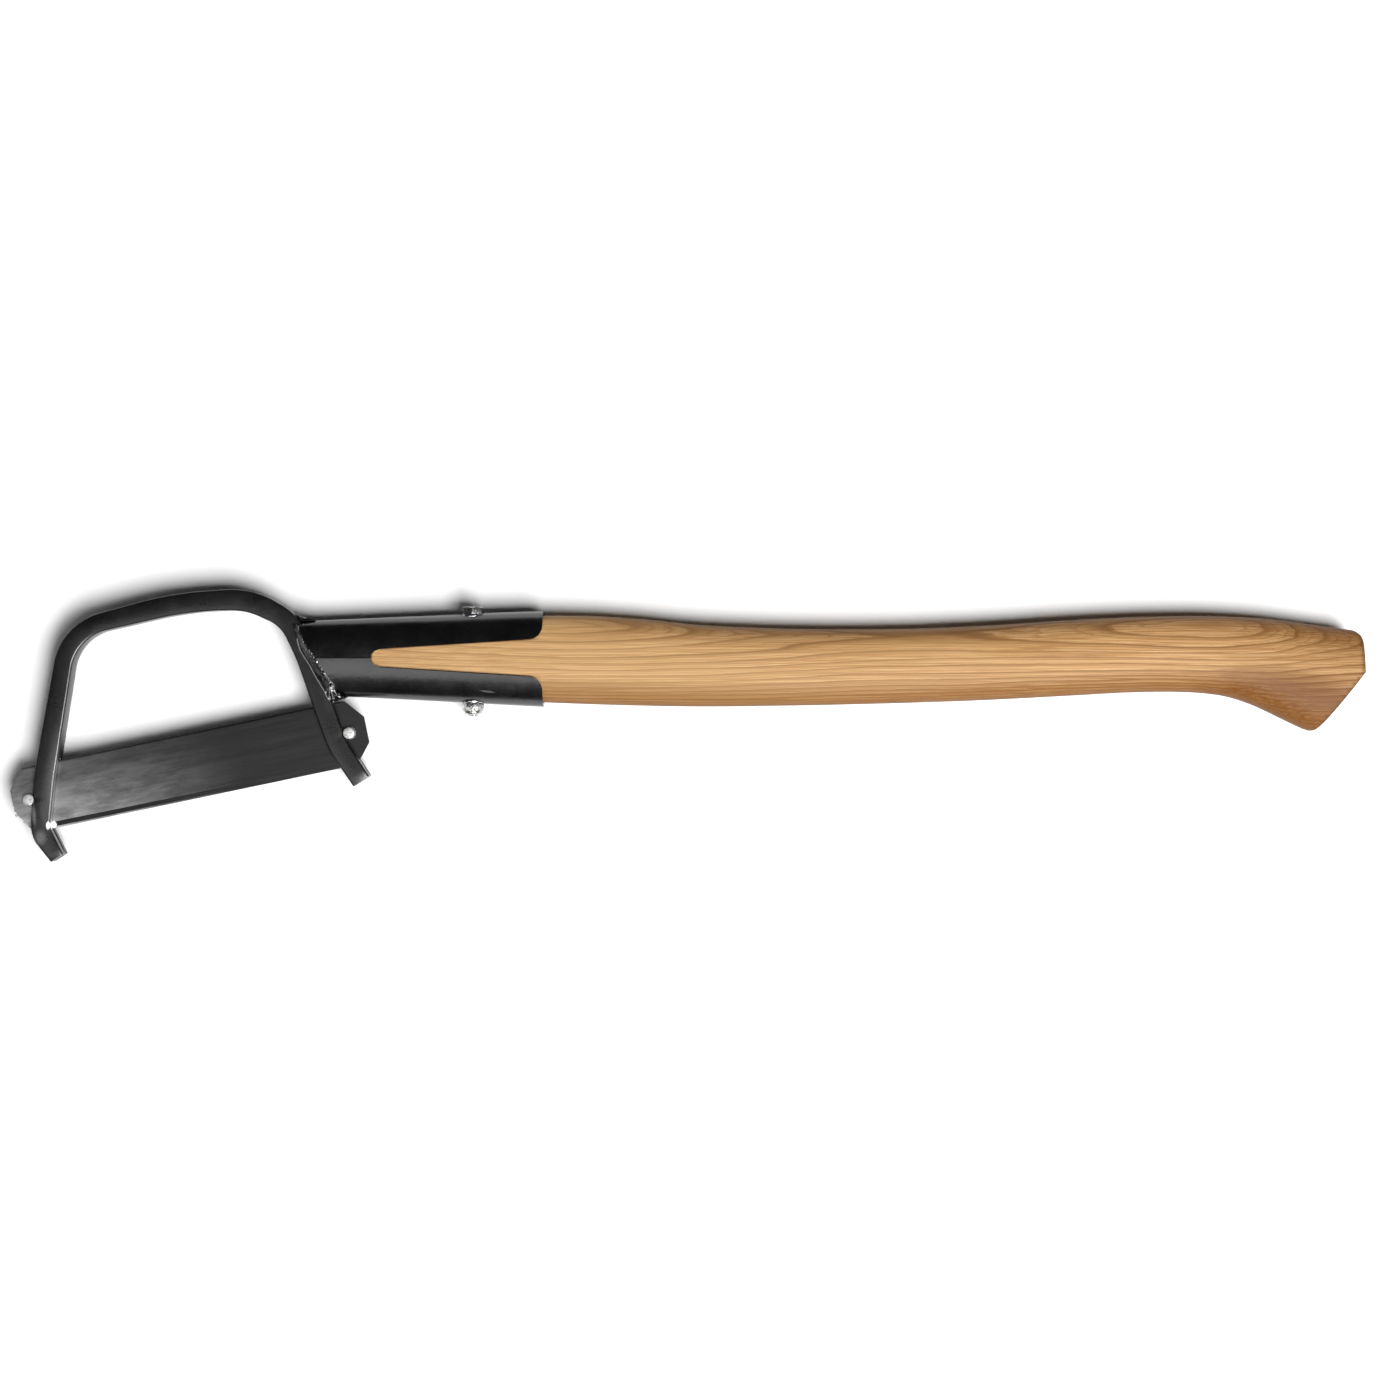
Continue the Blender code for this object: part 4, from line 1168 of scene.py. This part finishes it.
def make_lock_nut(zinc, nylon):
    high = SEAT_BOTTOM - 2 * CLAMP_GAP - WASHER_THICKNESS
    low = high - NUT_HEIGHT
    shoulder = high - NUT_HEX_HEIGHT
    nut = hexagon("nut", shoulder, high, 0.0)
    collar = NUT_COLLAR_DIAMETER / 2
    dome = [(collar, high - 1)] + [(collar - inward, low + rise) for inward, rise in NUT_DOME]
    cut(nut, make_mesh("dome", turned(dome), ALONG_BOLT), operation="UNION")
    bore = NUT_BORE_DIAMETER / 2
    room = INSERT_DIAMETER / 2 + CLAMP_GAP
    mouth = room - 0.5
    roof = low + NUT_LIP + INSERT_HEIGHT + 2 * CLAMP_GAP
    hollow = turned(((mouth, low - 1), (mouth, low + NUT_LIP), (room, low + NUT_LIP),
                     (room, roof), (bore, roof), (bore, high - 0.5), (bore + 0.6, high + 0.1)))
    cut(nut, make_mesh("hollow", hollow, ALONG_BOLT))
    finish_piece(nut, "lock_nut", "turning_nut", zinc, 30)
    ring_low = low + NUT_LIP + CLAMP_GAP
    inner = BOLT_DIAMETER / 2 + CLAMP_GAP
    edge = ((inner, 0.15), (inner + 0.15, 0.0), (INSERT_DIAMETER / 2, 0.0))
    ring = turned(both_faces(edge, ring_low, ring_low + INSERT_HEIGHT), closed=True)
    finish_piece(make_mesh("insert", ring, ALONG_BOLT), "nut_insert", "turning_nut",
                 nylon)


# ------------ stage

VIEW_POINT = Vector((115.77, -21.17, 0))      # what the camera looks at
CAMERA_HEIGHT = 1067
VIEW_WIDTH = 714                              # width of the view in the tool's mid-plane
SENSOR = 36.0
# Softboxes: offset from VIEW_POINT, width and depth, radiance
SOFTBOXES = {
    "key": ((825, -960, 2000), (1250, 1450), 24),
    "strip": ((-740, -400, 1350), (790, 500), 1.75),
    "strip_end": ((295, -400, 1350), (1280, 500), 1.0),
}
FLOOR_HALF_SIZE = 6.0                         # metres
FLOOR_DROP = 0.0002                           # metres between the tool and the floor
FLOOR_TONE = 0.71
FLOOR_LIFT = 0.24                             # how much paler the floor is on the shadow's side
LIFT_RANGE = (60.0, 300.0)
GLOW_RANGE = (1100.0, 3200.0)                 # the floor glows faintly beyond the tool
GLOW = 0.9
SKY_BAND = (0.06, 0.17)                       # where the horizon's light fades, as a slope
SKY_STRENGTH = (1.0, 0.02)


def make_camera():
    data = bpy.data.cameras.new("camera")
    data.sensor_width = SENSOR
    data.lens = SENSOR * CAMERA_HEIGHT / VIEW_WIDTH
    camera = add_object("camera", data)
    camera.location = ORIGIN + (VIEW_POINT + Vector((0, 0, CAMERA_HEIGHT))) * MM
    bpy.context.scene.camera = camera


def make_light(name, offset, size, radiance):
    """A level softbox facing down."""
    data = bpy.data.lights.new(name, "AREA")
    data.shape = "RECTANGLE"
    data.size = size[0] * MM
    data.size_y = size[1] * MM
    data.energy = radiance * math.pi * data.size * data.size_y
    add_object(name, data).location = ORIGIN + (VIEW_POINT + Vector(offset)) * MM


def pale_floor():
    s = Surface("pale_floor", Specular_IOR_Level=0.1)
    soft = s.noise(s.place, 0.004, 2.0)
    away = s.span(s.split(s.place)[1], *LIFT_RANGE, 0.0, FLOOR_LIFT)
    tone = s.times(soft, 0.02, away)
    tone = s.calc("ADD", tone, FLOOR_TONE)
    distance = s.add("VectorMath", (s.place,), operation="LENGTH").outputs["Value"]
    return s.set(Base_Color=tone, Roughness=0.9, Emission_Color=gray(1.0),
                 Emission_Strength=s.span(distance, *GLOW_RANGE, 0.0, GLOW))


def make_floor():
    bm = bmesh.new()
    bmesh.ops.create_grid(bm, x_segments=8, y_segments=8, size=FLOOR_HALF_SIZE)
    mesh = bpy.data.meshes.new("floor")
    bm.to_mesh(mesh)
    bm.free()
    floor = add_object("floor", mesh)
    floor.location.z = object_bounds()[0].z - FLOOR_DROP
    mesh.materials.append(pale_floor())


def make_world():
    """Light from just above the horizon all round, and almost none from above."""
    world = bpy.data.worlds.new("studio")
    bpy.context.scene.world = world
    world.use_nodes = True
    nodes = world.node_tree.nodes
    links = world.node_tree.links
    way = nodes.new("ShaderNodeTexCoord")
    parts = nodes.new("ShaderNodeSeparateXYZ")
    fade = nodes.new("ShaderNodeMapRange")
    fade.interpolation_type = "SMOOTHSTEP"
    names = ("From Min", "From Max", "To Min", "To Max")
    for name, value in zip(names, SKY_BAND + SKY_STRENGTH):
        fade.inputs[name].default_value = value
    links.new(way.outputs["Generated"], parts.inputs[0])
    links.new(parts.outputs["Z"], fade.inputs["Value"])
    links.new(fade.outputs["Result"], nodes["Background"].inputs["Strength"])
    nodes["Background"].inputs["Color"].default_value = gray(1.0)


def make_stage():
    make_floor()
    make_world()
    bpy.context.scene.view_settings.view_transform = "Standard"
    for name, softbox in SOFTBOXES.items():
        make_light(name, *softbox)


coat = coated_steel("black_powder_coat", 1.6, (0.25, 0.31), BOW_GLINTS, BOW_REFLECTIONS, BOW_DENT_SHADES)
shell_coat = coated_steel("shell_powder_coat", 1.78, (0.17, 0.23), scratches_and_reflections=SHELL_SCRATCHES)
make_bow(coat)
make_blade(blade_steel())
make_pins(pin_steel())
make_handle(oiled_ash())
make_shell("upper_socket_shell", 1, shell_coat)
make_shell("lower_socket_shell", -1, shell_coat)
make_welds(weld_coat())
zinc = zinc_plate()
make_bolt(zinc)
make_washer("head_washer", SEAT_TOP + CLAMP_GAP, "tool", zinc)
make_washer("nut_washer", SEAT_BOTTOM - CLAMP_GAP - WASHER_THICKNESS, "loose_washer", zinc)
make_lock_nut(zinc, insert_nylon())
make_stage()
make_camera()
